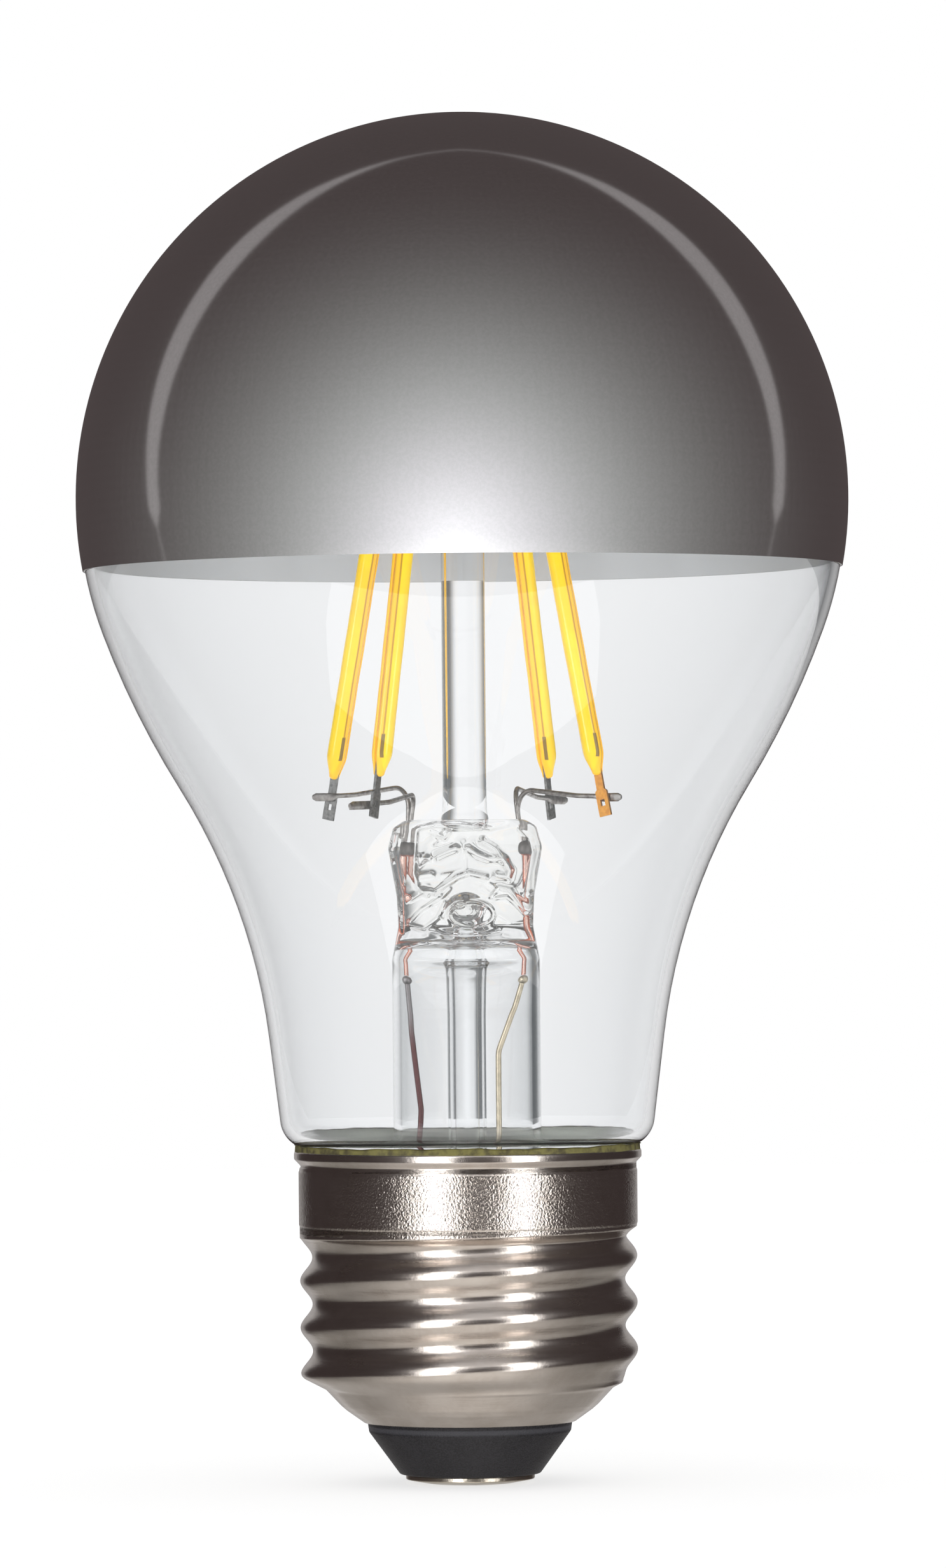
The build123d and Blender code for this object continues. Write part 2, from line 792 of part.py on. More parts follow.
def build():
    support = {place: support_wire(place) for place in FILAMENTS}
    seals = {
        "left": seal_wire(left_knot, left_seal_shift),
        "right": seal_wire(right_knot, right_seal_shift),
    }
    tops = {
        "rear": top_wire("rear_right", "rear_left", top_wire_spacing),
        "front": top_wire("front_left", "front_right", -top_wire_spacing),
    }
    leads = {
        "left": outer_lead(left_knot + left_seal_shift, LEAD_BENDS["left"]),
        "right": outer_lead(right_knot + right_seal_shift, LEAD_BENDS["right"]),
    }
    parts = {
        "glass_bulb": glass_bulb(),
        "mirror_crown": mirror_crown(),
        "stem_glass": stem_glass([*support.values(), *seals.values()]),
        "exhaust_tube": exhaust_tube(),
        "centre_rod": centre_rod(tops.values()),
        "screw_shell": screw_shell(),
        "capping_cement": capping_cement(),
        "insulator": insulator(),
        "centre_contact": centre_contact(),
        "driver_board": driver_board(leads.values()),
        "bridge_rectifier": component_block(bridge_size, bridge_spot),
        "driver_chip": component_block(chip_size, chip_spot),
        "smoothing_capacitor": smoothing_capacitor(),
        "inductor_core": inductor(),
        "inductor_winding": inductor_winding(),
        "fusible_resistor": fusible_resistor(),
        "neutral_lead": neutral_lead(),
    }
    for place, details in FILAMENTS.items():
        side = details["bead_side"]
        parts[f"filament_strip_{place}"] = filament_strip(place)
        parts[f"phosphor_face_{place}"] = phosphor_bead(place, side, big_bead_width, big_bead_height)
        parts[f"phosphor_back_{place}"] = phosphor_bead(place, -side, small_bead_width, small_bead_height)
        parts[f"lower_tab_{place}"] = lower_tab(place)
        parts[f"upper_tab_{place}"] = upper_tab(place)
        parts[f"support_wire_{place}"] = support[place]
    for side in leads:
        parts[f"seal_wire_{side}"] = seals[side]
        parts[f"outer_lead_{side}"] = leads[side]
    for side, wire in tops.items():
        parts[f"top_wire_{side}"] = wire
    return parts


if __name__ == "__main__":
    os.makedirs("parts", exist_ok=True)
    for name, shape in build().items():
        export_step(shape, f"parts/{name}.step")
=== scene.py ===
from math import asin, cos, degrees, pi, radians, sin, tan

import bpy
import numpy as np
from mathutils import Matrix, Quaternion, Vector


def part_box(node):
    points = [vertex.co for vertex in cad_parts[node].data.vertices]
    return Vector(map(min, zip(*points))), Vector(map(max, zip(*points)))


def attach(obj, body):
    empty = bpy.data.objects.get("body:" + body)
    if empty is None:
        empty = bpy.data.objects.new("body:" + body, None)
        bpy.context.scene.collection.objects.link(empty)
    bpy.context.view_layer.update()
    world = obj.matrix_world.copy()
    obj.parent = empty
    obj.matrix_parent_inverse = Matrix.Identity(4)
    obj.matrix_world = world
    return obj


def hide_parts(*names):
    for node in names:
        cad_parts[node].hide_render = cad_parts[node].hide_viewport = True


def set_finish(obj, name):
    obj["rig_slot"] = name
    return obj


# LED filament bulb with a mirrored crown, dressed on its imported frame.
# Lengths below are millimetres; MM turns them into the scene's metres. The front is at -Y.

MM = 0.001
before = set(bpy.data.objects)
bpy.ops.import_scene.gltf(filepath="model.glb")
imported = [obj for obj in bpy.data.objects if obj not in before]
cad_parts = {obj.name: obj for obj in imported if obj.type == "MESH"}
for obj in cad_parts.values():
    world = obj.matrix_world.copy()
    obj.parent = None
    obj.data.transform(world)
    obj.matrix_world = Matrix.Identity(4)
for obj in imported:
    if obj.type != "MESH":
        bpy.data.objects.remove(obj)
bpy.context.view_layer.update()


def node_box(node):
    """Lowest and highest corner of a node of the frame, in millimetres."""
    low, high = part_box(node)
    return low / MM, high / MM


glass_low, glass_high = node_box("glass_bulb")
mirror_low = node_box("mirror_crown")[0]
shell_low, shell_high = node_box("screw_shell")
rod_high = node_box("centre_rod")[1]
exhaust_low, exhaust_high = node_box("exhaust_tube")
cement_low, cement_high = node_box("capping_cement")
insulator_high = node_box("insulator")[1]
contact_high = node_box("centre_contact")[1]
stem_high = node_box("stem_glass")[1]

# Glass bulb
bulb_radius = glass_high.x
overall_height = glass_high.z
glass_wall = 0.7
crown_sweep = 20.3
flank_radius = 67.0
flank_angle = 31.7
neck_sweep_radius = 48.0
neck_taper = 7.1
neck_length = 6.75
shoulder_radius = 2.4
shoulder_angle = 60.0
neck_foot_radius = 2.3
seal_height = glass_low.z
crown_centre = overall_height - bulb_radius

# Mirror coating
mirror_gap = 0.03
mirror_thickness = 0.15
mirror_drop = crown_centre - mirror_low.z

# Stem
stem_tube_radius = 5.75
stem_wall = 0.65
press_top = stem_high.z
press_base = press_top - 8.4
stem_tube_top = press_base - 2.5
squeeze_start = stem_tube_top - 0.6
press_floor = press_base - 1.3
press_brow = 0.6
press_core = 3.4
round_core_radius = 1.7
core_blend = 2.0
front_fold_share = 1.3
back_fold_share = 0.6
back_fold_rise = 0.3
flare_radius = stem_high.x
stem_bend_radius = 0.7
mouth_radius = 2.5
mouth_bend_radius = 0.95
stem_steps = 288
section_step = 0.05
section_smoothing = 17
exhaust_radius = 1.5
exhaust_bore = 0.9
exhaust_tip_length = 2.4
exhaust_point_radius = 0.7
exhaust_point_turn = 62
rod_radius = 1.7
rod_bead_radius = 2.2
rod_bead_turn = 40.0
rod_straight_start = 3.0
# Melted foot of the rod: radius, and height above the press
ROD_FOOT = [(0, -1.0), (1.75, -1.0), (1.85, 0.1), (1.72, 0.9)]

# Sections of the stem: height, half width, half depth, and how square the section is
STEM_SECTIONS = [
    (squeeze_start, stem_tube_radius, stem_tube_radius, 2.0),
    (stem_tube_top, stem_tube_radius, stem_tube_radius, 2.0),
    (press_base, 5.25, 2.25, 2.7),
    (press_base + 2.4, 5.35, 2.15, 2.9),
    (press_base + 6.2, 6.0, 2.6, 2.8),
    (press_top - press_brow, 5.6, 2.35, 2.8),
    (press_top, 4.9, 1.9, 2.6),
]

# Folds that the pinch left in the press: points to the right and above its base, depth and width
PRESS_FOLDS = [
    ([(1.4, 6.65), (2.3, 6.1), (2.95, 5.3), (3.45, 4.4), (3.3, 3.85), (2.4, 4.0)], 0.5, 0.3),
    ([(-4.3, 2.3), (-3.2, 2.9), (-2.4, 2.7), (-1.5, 3.3), (-0.6, 3.9), (0.3, 4.2), (1.6, 3.9)], 0.4, 0.22),
    ([(-3.8, 7.6), (-3.95, 6.2), (-4.05, 4.2), (-3.7, 3.1), (-3.0, 2.5)], 0.26, 0.2),
    ([(-4.35, 0.5), (-3.4, 1.4), (-1.9, 2.3), (-1.2, 3.0)], 0.22, 0.14),
    ([(-4.5, 0.2), (-3.2, -0.1), (-2.2, 0.7), (-1.6, 1.9)], 0.22, 0.16),
    ([(2.0, 2.3), (2.6, 3.1), (3.5, 2.9), (4.7, 1.4)], 0.26, 0.16),
    ([(2.3, 2.2), (3.2, 2.3), (3.9, 1.7), (4.6, 1.0)], 0.2, 0.14),
    ([(-2.1, 5.6), (-1.4, 5.9), (-0.7, 6.15)], 0.5, 0.3),
    ([(0.3, 6.1), (1.0, 5.6), (1.8, 5.3), (2.9, 5.25)], 0.5, 0.3),
    ([(-3.6, 7.75), (-2.2, 8.05), (-0.4, 8.0), (1.2, 7.75)], 0.3, 0.16),
    ([(0.05, 6.3), (0.05, 4.3)], 0.14, 0.09),
    ([(-5.35, 7.2), (-5.6, 5.9), (-5.35, 4.2), (-4.95, 2.2), (-4.85, -0.4)], 0.16, 0.14),
    ([(-5.0, 6.9), (-5.2, 5.2), (-4.85, 3.4)], 0.12, 0.12),
    ([(4.2, 7.6), (5.05, 6.9), (5.3, 5.8), (5.0, 4.0), (4.7, 2.4)], 0.14, 0.14),
    ([(-2.7, -0.3), (-1.5, -0.6), (0.0, -0.75), (1.5, -0.6), (2.6, -0.35)], 0.24, 0.18),
    ([(1.0, 7.9), (2.0, 7.7), (3.2, 8.0)], 0.2, 0.2),
    ([(-2.6, 7.4), (-1.6, 7.0), (-1.2, 7.5)], 0.16, 0.2),
]

# Rings in the press: middle to the right and above its base, half width and half height; depth and width
PRESS_RINGS = [((0.43, 0.95, 1.75, 1.05), 0.26, 0.16), ((-0.45, 1.75, 0.36, 0.2), 0.2, 0.1)]

bubble_height = press_base + 1.3
bubble_radius = 1.55
knot_height = press_top - 2.3

# Filaments
first_filament_angle = 57.4
filament_base_radius = 12.2
filament_base_height = press_top + 3.2
filament_lean = 11.6
filament_length = 36.0
half_strip = 0.11
FILAMENT_BEAD_SIDES = {"rear_right": -1, "rear_left": 1, "front_left": 1, "front_right": -1}
big_bead_width, big_bead_height = 1.6, 0.85
small_bead_width, small_bead_height = 1.45, 0.5
bead_neck_length = 1.9
bead_tip_share = 0.46
bead_tip_length = 0.25
bead_line_offset = 0.55
tab_bar_low = 56.3
tab_bar_high = 58.1

# Support wires: how far the weld is below the filament's foot, and how far the wire runs past it
WELDS = {
    "rear_right": (1.4, 2.1),
    "rear_left": (1.15, 1.6),
    "front_left": (1.9, 3.0),
    "front_right": (1.5, 1.5),
}
wire_droop = 0.1
weld_cuts = 12
weld_run = 1.0
weld_spread = 0.7
weld_thinning = 0.4

# Screw cap
sheet_thickness = 0.3
shell_foot = shell_low.z
foot_corner = 8.25
bowl_radius = 10.85
bowl_height = 2.4
bowl_top = shell_foot + bowl_height
thread_entry_slope = 0.52
thread_pitch = 3.629
thread_major_radius = 13.1
thread_minor_radius = 12.15
thread_right_crest = 17.55
collar_radius = 13.16
collar_start = 19.0
collar_end = 24.2
groove_radius = 12.92
groove_height = 24.6
lip_radius = 13.5
lip_height = 25.2
shell_top = shell_high.z
lip_roll_radius = 0.26
cement_wave = 0.22

# Insulator and centre contact
insulator_rim_bevel = 0.1
insulator_rim_depth = 0.75
plug_clearance = 0.05
touch_gap = 0.01
contact_height = 0.7
contact_margin = 0.45
contact_edge_height = 0.3
shank_bore = 0.35
shank_bore_depth = 3.0
contact_flat_radius = 3.4
contact_shank_radius = 1.5
contact_head_radius = 2.1
insulator_foot_radius = 5.45

# Camera and stage
camera_distance = 617.0
camera_height = 46.0
aim_height = 54.2
aim_right = 0.66
camera_roll = -0.5
view_angle = 11.28
sensor_size = 36.0
floor_radius = 700.0
floor_gap = 0.02
glow_radius = 1500.0
glow_sideways = -1.9
glow_tilt = -22.5
glow_reach = 145
lamp_aim_height = 15
WHITE = (1, 1, 1, 1)

# Soft lamps: azimuth, elevation, distance, width, height and radiance
CAP_LAMPS = {
    "cap_lamp_left": (-23, 8, 1000, 360, 1500, 4.0),
    "cap_lamp_right": (38, 8, 1000, 280, 1500, 4.0),
    "cap_lamp_above": (7, 52, 600, 480, 480, 0.55),
    "cap_lamp_behind": (180, 6, 1000, 1000, 1200, 0.42),
}
INNER_LAMPS = {
    "inner_lamp_left": (-46, 2.5, 1000, 200, 900, 16.0),
    "inner_lamp_right": (48, 2.5, 1000, 200, 900, 16.0),
}
LOW_FILL = (0, 0.5, 600, 400, 32, 62.0)
GLASS_LAMP = (0, -42, 700, 1150, 380, 1.5)


# Drawing outlines


class Pen:
    """Draws an outline as radius and height, with straight runs and tangent arcs."""

    def __init__(self, start, heading, arc_step):
        self.points = [Vector(start)]
        self.heading = radians(heading)
        self.arc_step = arc_step

    def line(self, length):
        self.points.append(self.points[-1] + Vector((cos(self.heading), sin(self.heading))) * length)
        return self

    def arc(self, radius, turn):
        """Turns left by the angle, or right where it is negative."""
        side = 1 if turn > 0 else -1
        out = Vector((sin(self.heading), -cos(self.heading))) * side
        centre = self.points[-1] - out * radius
        steps = max(2, round(abs(turn) / self.arc_step))
        for step in range(1, steps + 1):
            angle = radians(turn) * step / steps
            along, across = cos(angle), sin(angle)
            spoke = Vector((out.x * along - out.y * across, out.x * across + out.y * along))
            self.points.append(centre + spoke * radius)
        self.heading += radians(turn)
        return self


def rounded(corners, radii, arc_step=9.0):
    """Outline through corners, each rounded to its radius; the first and last stay sharp."""
    corners = [Vector(corner) for corner in corners]
    points = [corners[0]]
    for before, corner, after, radius in zip(corners, corners[1:], corners[2:], radii):
        way_in, way_out = (corner - before).normalized(), (after - corner).normalized()
        turn = way_in.angle_signed(way_out)
        cut = radius * tan(abs(turn) / 2)
        steps = max(1, round(degrees(abs(turn)) / arc_step)) if radius else 0
        for step in range(steps + 1):
            share = step / steps if steps else 0.5
            towards_in, towards_out = corner - way_in * cut, corner + way_out * cut
            blend = towards_in.lerp(corner, share).lerp(corner.lerp(towards_out, share), share)
            points.append(blend)
    points.append(corners[-1])
    return points


def spaced(points, longest):
    """The same outline with no run longer than the given length."""
    points = [Vector(point) for point in points]
    result = [points[0]]
    for start, end in zip(points, points[1:]):
        parts = max(1, round((end - start).length / longest))
        result += [start.lerp(end, part / parts) for part in range(1, parts + 1)]
    return result


# Making meshes


def start_piece():
    """Leaves nothing selected, so that the next operator acts on the new piece alone."""
    if bpy.context.object and bpy.context.object.mode != "OBJECT":
        bpy.ops.object.mode_set(mode="OBJECT")
    bpy.ops.object.select_all(action="DESELECT")


def finish_piece(name, smooth_angle=40.0):
    """Names the piece, brings its object to the origin and shades it."""
    piece = bpy.context.object
    piece.name = name
    piece.data.name = name
    bpy.ops.object.transform_apply(location=True, rotation=True, scale=True)
    bpy.ops.object.shade_smooth_by_angle(angle=radians(smooth_angle))
    return piece


def close_mesh(merge_distance=0.002):
    """Merges doubles and turns every face outwards, in edit mode."""
    bpy.ops.mesh.select_all(action="SELECT")
    bpy.ops.mesh.remove_doubles(threshold=merge_distance * MM)
    bpy.ops.mesh.normals_make_consistent(inside=False)


def spun(name, outline, steps=192, smooth_angle=40.0):
    """Piece turned about the bulb's axis: its outline is drawn by extruding a point, then spun."""
    start_piece()
    outline = [Vector(point) for point in outline]
    first = outline[0]
    bpy.ops.mesh.primitive_plane_add(size=MM, location=(first.x * MM, 0, first.y * MM))
    bpy.ops.object.transform_apply(location=True, rotation=True, scale=True)
    bpy.ops.object.mode_set(mode="EDIT")
    bpy.ops.mesh.select_all(action="SELECT")
    bpy.ops.mesh.merge(type="CENTER")
    for start, end in zip(outline, outline[1:]):
        move = ((end.x - start.x) * MM, 0, (end.y - start.y) * MM)
        bpy.ops.mesh.extrude_region_move(TRANSFORM_OT_translate={"value": move})
    bpy.ops.mesh.select_all(action="SELECT")
    bpy.ops.mesh.spin(steps=steps, angle=2 * pi, center=(0, 0, 0), axis=(0, 0, 1))
    close_mesh()
    bpy.ops.object.mode_set(mode="OBJECT")
    return finish_piece(name, smooth_angle)


def vertex_array(piece):
    places = np.empty(len(piece.data.vertices) * 3)
    piece.data.vertices.foreach_get("co", places)
    return places.reshape(-1, 3) / MM


def move_vertices(piece, places):
    piece.data.vertices.foreach_set("co", (places * MM).ravel())
    piece.data.update()


# Finishes


class Socket:
    """A node's output that takes part in sums, which add their Math nodes."""

    def __init__(self, finish, output):
        self.finish = finish
        self.output = output

    def __add__(self, other):
        return self.finish.math("ADD", self, other)

    def __sub__(self, other):
        return self.finish.math("SUBTRACT", self, other)

    def __mul__(self, other):
        return self.finish.math("MULTIPLY", self, other)

    def __truediv__(self, other):
        return self.finish.math("DIVIDE", self, other)

    def __rsub__(self, other):
        return self.finish.math("SUBTRACT", other, self)

    __radd__ = __add__
    __rmul__ = __mul__

    def between(self, low, high):
        """0 below the low value and 1 above the high one, smooth between them."""
        settings = {"interpolation_type": "SMOOTHSTEP"}
        inputs = {"Value": self, "From Min": low, "From Max": high}
        return self.finish.node("ShaderNodeMapRange", settings, inputs)

    def within(self, rise_start, rise_end, fall_start, fall_end):
        """1 between the rise and the fall, and 0 outside them."""
        return self.between(rise_start, rise_end) * (1 - self.between(fall_start, fall_end))


class Finish:
    """A node tree, of a material or of the world, that is built up with expressions."""

    def __init__(self, owner):
        self.owner = owner
        owner.use_nodes = True
        self.tree = owner.node_tree
        self.tree.nodes.clear()

    def node(self, kind, settings=None, inputs=None, output=0):
        node = self.tree.nodes.new(kind)
        for name, value in (settings or {}).items():
            setattr(node, name, value)
        for name, value in (inputs or {}).items():
            if isinstance(value, Socket):
                self.tree.links.new(value.output, node.inputs[name])
            else:
                node.inputs[name].default_value = value
        return Socket(self, node.outputs[output]) if node.outputs else None

    def math(self, operation, *inputs):
        return self.node("ShaderNodeMath", {"operation": operation}, dict(enumerate(inputs)))

    def place(self):
        """Place on the piece, in millimetres."""
        coordinates = self.node("ShaderNodeTexCoord", output="Object")
        return self.vector("SCALE", coordinates, scale=1 / MM)

    def vector(self, operation, first, second=None, scale=None, output=0):
        inputs = {0: first}
        if second is not None:
            inputs[1] = second
        if scale is not None:
            inputs["Scale"] = scale
        return self.node("ShaderNodeVectorMath", {"operation": operation}, inputs, output)

    def part(self, vector, axis):
        return self.node("ShaderNodeSeparateXYZ", None, {0: vector}, axis)

    def mix(self, factor, first, second):
        settings = {"data_type": "RGBA"}
        return self.node("ShaderNodeMix", settings, {0: factor, 6: first, 7: second}, 2)

    def noise(self, place, size, detail=3.0, roughness=0.55):
        """Soft noise whose patches are about the given size across."""
        inputs = {"Vector": place, "Scale": 1 / size, "Detail": detail, "Roughness": roughness}
        return self.node("ShaderNodeTexNoise", None, inputs)

    def bump(self, height, depth):
        """Normal of a relief whose height runs from 0 to 1 over the given depth."""
        inputs = {"Height": height, "Strength": 1.0, "Distance": depth * MM}
        return self.node("ShaderNodeBump", None, inputs)

    def surface(self, inputs):
        return self.node("ShaderNodeBsdfPrincipled", None, inputs)

    def either(self, share, first, second):
        """The first shader where the share is 0 and the second where it is 1."""
        return self.node("ShaderNodeMixShader", None, {0: share, 1: first, 2: second})

    def light_path(self, ray):
        return self.node("ShaderNodeLightPath", output=ray)

    def facing(self):
        """0 where the surface faces the eye and 1 where it is seen edge-on."""
        return self.node("ShaderNodeLayerWeight", None, {"Blend": 0.5}, "Facing")

    def output(self, shader, kind="ShaderNodeOutputMaterial"):
        self.node(kind, None, {"Surface": shader})
        return self.owner


def colour(red, green, blue):
    return (red, green, blue, 1)


def new_finish(name):
    return Finish(bpy.data.materials.new(name))


def clear_glass(name, tint, edge_tint, press_tint=None, press_edge_tint=None):
    """Glass that lets the lamps through to what is inside, and is deeper in tone where it is seen edge-on."""
    f = new_finish(name)
    edge_on = f.facing().between(0.04, 0.36)
    tone = f.mix(edge_on, colour(*tint), colour(*edge_tint))
    if press_tint:
        height = f.part(f.place(), "Z")
        on_press = height.within(press_base - 0.6, press_base + 0.2, press_top - 0.9, press_top - 0.3)
        tone = f.mix(on_press, tone, f.mix(edge_on, colour(*press_tint), colour(*press_edge_tint)))
    glass = f.surface({
        "Base Color": tone,
        "Roughness": 0.0,
        "IOR": 1.5,
        "Transmission Weight": 1.0,
    })
    clear = f.node("ShaderNodeBsdfTransparent", None, {"Color": colour(*tint)})
    return f.output(f.either(f.light_path("Is Shadow Ray"), glass, clear))


def crown_mirror():
    """Vapour coating: dark chrome outside, bright satin silver inside."""
    f = new_finish("crown_mirror")
    place = f.place()
    from_centre = f.vector("DISTANCE", place, (0, 0, crown_centre), output="Value")
    inner_radius = bulb_radius + mirror_gap
    outside = from_centre.between(inner_radius, inner_radius + mirror_thickness)
    cloud = f.noise(place, 9.0, 4.0)
    speck = f.noise(place, 0.25, 2.0, 0.6)
    outer = f.mix(speck.between(0.3, 0.7), colour(0.77, 0.78, 0.77), colour(0.82, 0.82, 0.82))
    return f.output(f.surface({
        "Base Color": f.mix(outside, colour(0.97, 0.98, 0.98), outer),
        "Metallic": 0.1 + 0.9 * outside,
        "Roughness": 0.4 - 0.34 * outside + 0.05 * cloud,
        "Normal": f.bump(f.noise(place, 7.0, 2.0), 0.01),
    }))


def sheet_nickel():
    """Plated sheet of the screw shell: orange-peel grain on the collar, drawn lines round the thread."""
    f = new_finish("cap_nickel")
    place = f.place()
    height = f.part(place, "Z")
    film = f.noise(place, 3.5, 4.0, 0.6)
    tone = f.mix(film.between(0.35, 0.75), colour(0.76, 0.7, 0.65), colour(0.64, 0.575, 0.52))
    on_collar = height.within(collar_start - 0.3, collar_start + 0.9, collar_end - 0.2, collar_end + 0.3)
    grain = f.noise(place, 0.17, 2.0, 0.5)
    lines = f.noise(f.vector("MULTIPLY", place, (0.06, 0.06, 1)), 0.22, 3.0, 0.6)
    speck = f.noise(place, 0.3, 3.0, 0.6)
    relief = 1.4 * grain * on_collar + (0.35 * lines + 0.2 * speck) * (1 - on_collar)
    return f.output(f.surface({
        "Base Color": tone,
        "Metallic": 1.0,
        "Roughness": 0.15 + 0.1 * film + 0.1 * lines,
        "Normal": f.bump(relief, 0.03),
    }))


def contact_metal():
    f = new_finish("contact_nickel")
    place = f.place()
    film = f.noise(place, 2.0, 4.0)
    tone = f.mix(film.between(0.4, 0.7), colour(0.74, 0.68, 0.58), colour(0.58, 0.52, 0.43))
    return f.output(f.surface({
        "Base Color": tone,
        "Metallic": 1.0,
        "Roughness": 0.26 + 0.1 * film,
        "Normal": f.bump(f.noise(place, 0.5, 3.0), 0.03),
    }))


def cement():
    """Cured capping cement: olive with darker dirty patches, and painted light on its inside, which is made
    pale where it is seen through the neck.
    """
    f = new_finish("cement")
    place = f.place()
    patch = f.noise(place, 0.9, 5.0, 0.6)
    from_axis = f.vector("LENGTH", f.vector("MULTIPLY", place, (1, 1, 0)), output="Value")
    outer = f.mix(patch.between(0.4, 0.66), colour(0.15, 0.135, 0.035), colour(0.06, 0.05, 0.016))
    # Painted light: the inside, seen through the neck, is given a pale tone that stands for the light there.
    outside = from_axis.between(cement_high.x - 0.4, cement_high.x - 0.2)
    tone = f.mix(outside, colour(0.82, 0.83, 0.72), outer)
    return f.output(f.surface({
        "Base Color": tone,
        "Roughness": 0.7,
        "Normal": f.bump(f.noise(place, 0.35, 4.0), 0.06),
    }))


def insulator_glass():
    """Charcoal insulating glass with a fine grain, and a painted highlight: a paler line below its rim."""
    f = new_finish("black_insulator")
    place = f.place()
    grain = f.noise(place, 0.14, 2.0, 0.6)
    patch = f.noise(place, 2.6, 3.0)
    shade = (0.7 * grain + 0.3 * patch).between(0.38, 0.62)
    height = f.part(place, "Z")
    # Band below the rim that carries the painted highlight.
    rim = height.within(shell_foot - 0.75, shell_foot - 0.5, shell_foot - 0.35, shell_foot - 0.2)
    body = f.mix(shade, colour(0.011, 0.01, 0.014), colour(0.033, 0.031, 0.038))
    return f.output(f.surface({
        "Base Color": f.mix(0.7 * rim, body, colour(0.1, 0.1, 0.115)),
        "Roughness": 0.34 + 0.2 * grain,
        "Normal": f.bump(grain, 0.05),
    }))


def phosphor():
    """Yellow silicone full of phosphor, with painted shade in amber on the less lit side of the strip's line,
    and a faint painted glow all over.

    The strip's edge shows through it as a brown line, and the tab's end as a dark bar below that line.
    """
    f = new_finish("phosphor")
    place = f.place()
    cloud = f.noise(place, 2.4, 3.0)
    speck = f.noise(place, 0.18, 3.0, 0.7)
    turn = radians(first_filament_angle)
    off_strip = f.vector("DOT_PRODUCT", place, (sin(turn), -cos(turn), 0), output="Value")
    off_other = f.vector("DOT_PRODUCT", place, (-cos(turn), -sin(turn), 0), output="Value")
    height = f.part(place, "Z")
    above_tab = height.between(tab_bar_high - 0.1, tab_bar_high)
    on_tab = height.between(tab_bar_low - 0.1, tab_bar_low) * (1 - above_tab)
    # The mask that is 1 on the less lit side of each strip's line marks where amber painted shade goes.
    line, bar, shaded_side = 0, 0, 1
    for distance in (off_strip, off_other):
        near_strip = 1 - f.math("ABSOLUTE", distance).between(1.5, 1.6)
        off_line = f.math("ABSOLUTE", distance - bead_line_offset)
        line = line + above_tab * near_strip * (1 - off_line.between(0.03, 0.09))
        bar = bar + on_tab * near_strip * (1 - off_line.between(0.1, 0.15))
        shaded_side = shaded_side - near_strip * distance.between(bead_line_offset - 0.02, bead_line_offset + 0.02)
    yellow = f.mix(cloud.between(0.3, 0.7), colour(1.0, 0.7, 0.0), colour(1.0, 0.63, 0.0))
    # Painted shade: amber over the less lit side of the line.
    tone = f.mix(0.75 * shaded_side, yellow, colour(1.0, 0.53, 0.01))
    tone = f.mix(0.75 * line, tone, colour(0.35, 0.14, 0.0))
    tone = f.mix(0.85 * bar, tone, colour(0.09, 0.05, 0.02))
    return f.output(f.surface({
        "Base Color": tone,
        # Painted glow: the emission lightens the beads' shading, though the filament is not lit.
        "Emission Color": tone,
        "Emission Strength": 0.3,
        "Roughness": 0.2 + 0.08 * cloud,
        "Specular IOR Level": 0.3,
        "Coat Weight": 0.7,
        "Coat IOR": 1.35,
        "Coat Roughness": 0.05,
        "Normal": f.bump(speck, 0.006),
    }))


# Finishes of two tones: the light one, the dark one and what differs from a matt, smooth surface
PLAIN_FINISHES = {
    "circuit_board": ((0.05, 0.2, 0.09), (0.03, 0.14, 0.06), {}),
    "black_resin": ((0.03, 0.03, 0.032), (0.02, 0.02, 0.022), {}),
    "capacitor_sleeve": ((0.03, 0.035, 0.05), (0.02, 0.022, 0.035), {}),
    "ferrite": ((0.08, 0.08, 0.085), (0.05, 0.05, 0.055), {"roughness": 0.7}),
    "copper": ((0.7, 0.3, 0.15), (0.5, 0.18, 0.08), {"metallic": 1.0, "roughness": 0.3}),
    "resistor_body": ((0.45, 0.5, 0.42), (0.38, 0.42, 0.35), {}),
    "filament_strip": ((0.9, 0.45, 0.01), (0.75, 0.35, 0.01), {}),
    "steel_tab": ((0.3, 0.3, 0.29), (0.13, 0.13, 0.13), {"metallic": 1.0, "patch": 0.3}),
    "copper_tab": ((0.72, 0.33, 0.05), (0.5, 0.2, 0.03), {"metallic": 0.8, "patch": 0.5}),
    "support_wire": ((0.42, 0.4, 0.38), (0.2, 0.18, 0.17), {"metallic": 1.0, "patch": 0.5}),
}


def plain_finish(name, light, dark, metallic=0.0, roughness=0.4, patch=1.5, grain=0.3, relief=0.01):
    """A finish that varies between two tones, with a fine relief."""
    f = new_finish(name)
    place = f.place()
    mask = f.noise(place, patch, 4.0).between(0.35, 0.7)
    return f.output(f.surface({
        "Base Color": f.mix(mask, colour(*light), colour(*dark)),
        "Metallic": metallic,
        "Roughness": roughness - 0.1 + 0.2 * mask,
        "Normal": f.bump(f.noise(place, grain, 3.0), relief),
    }))


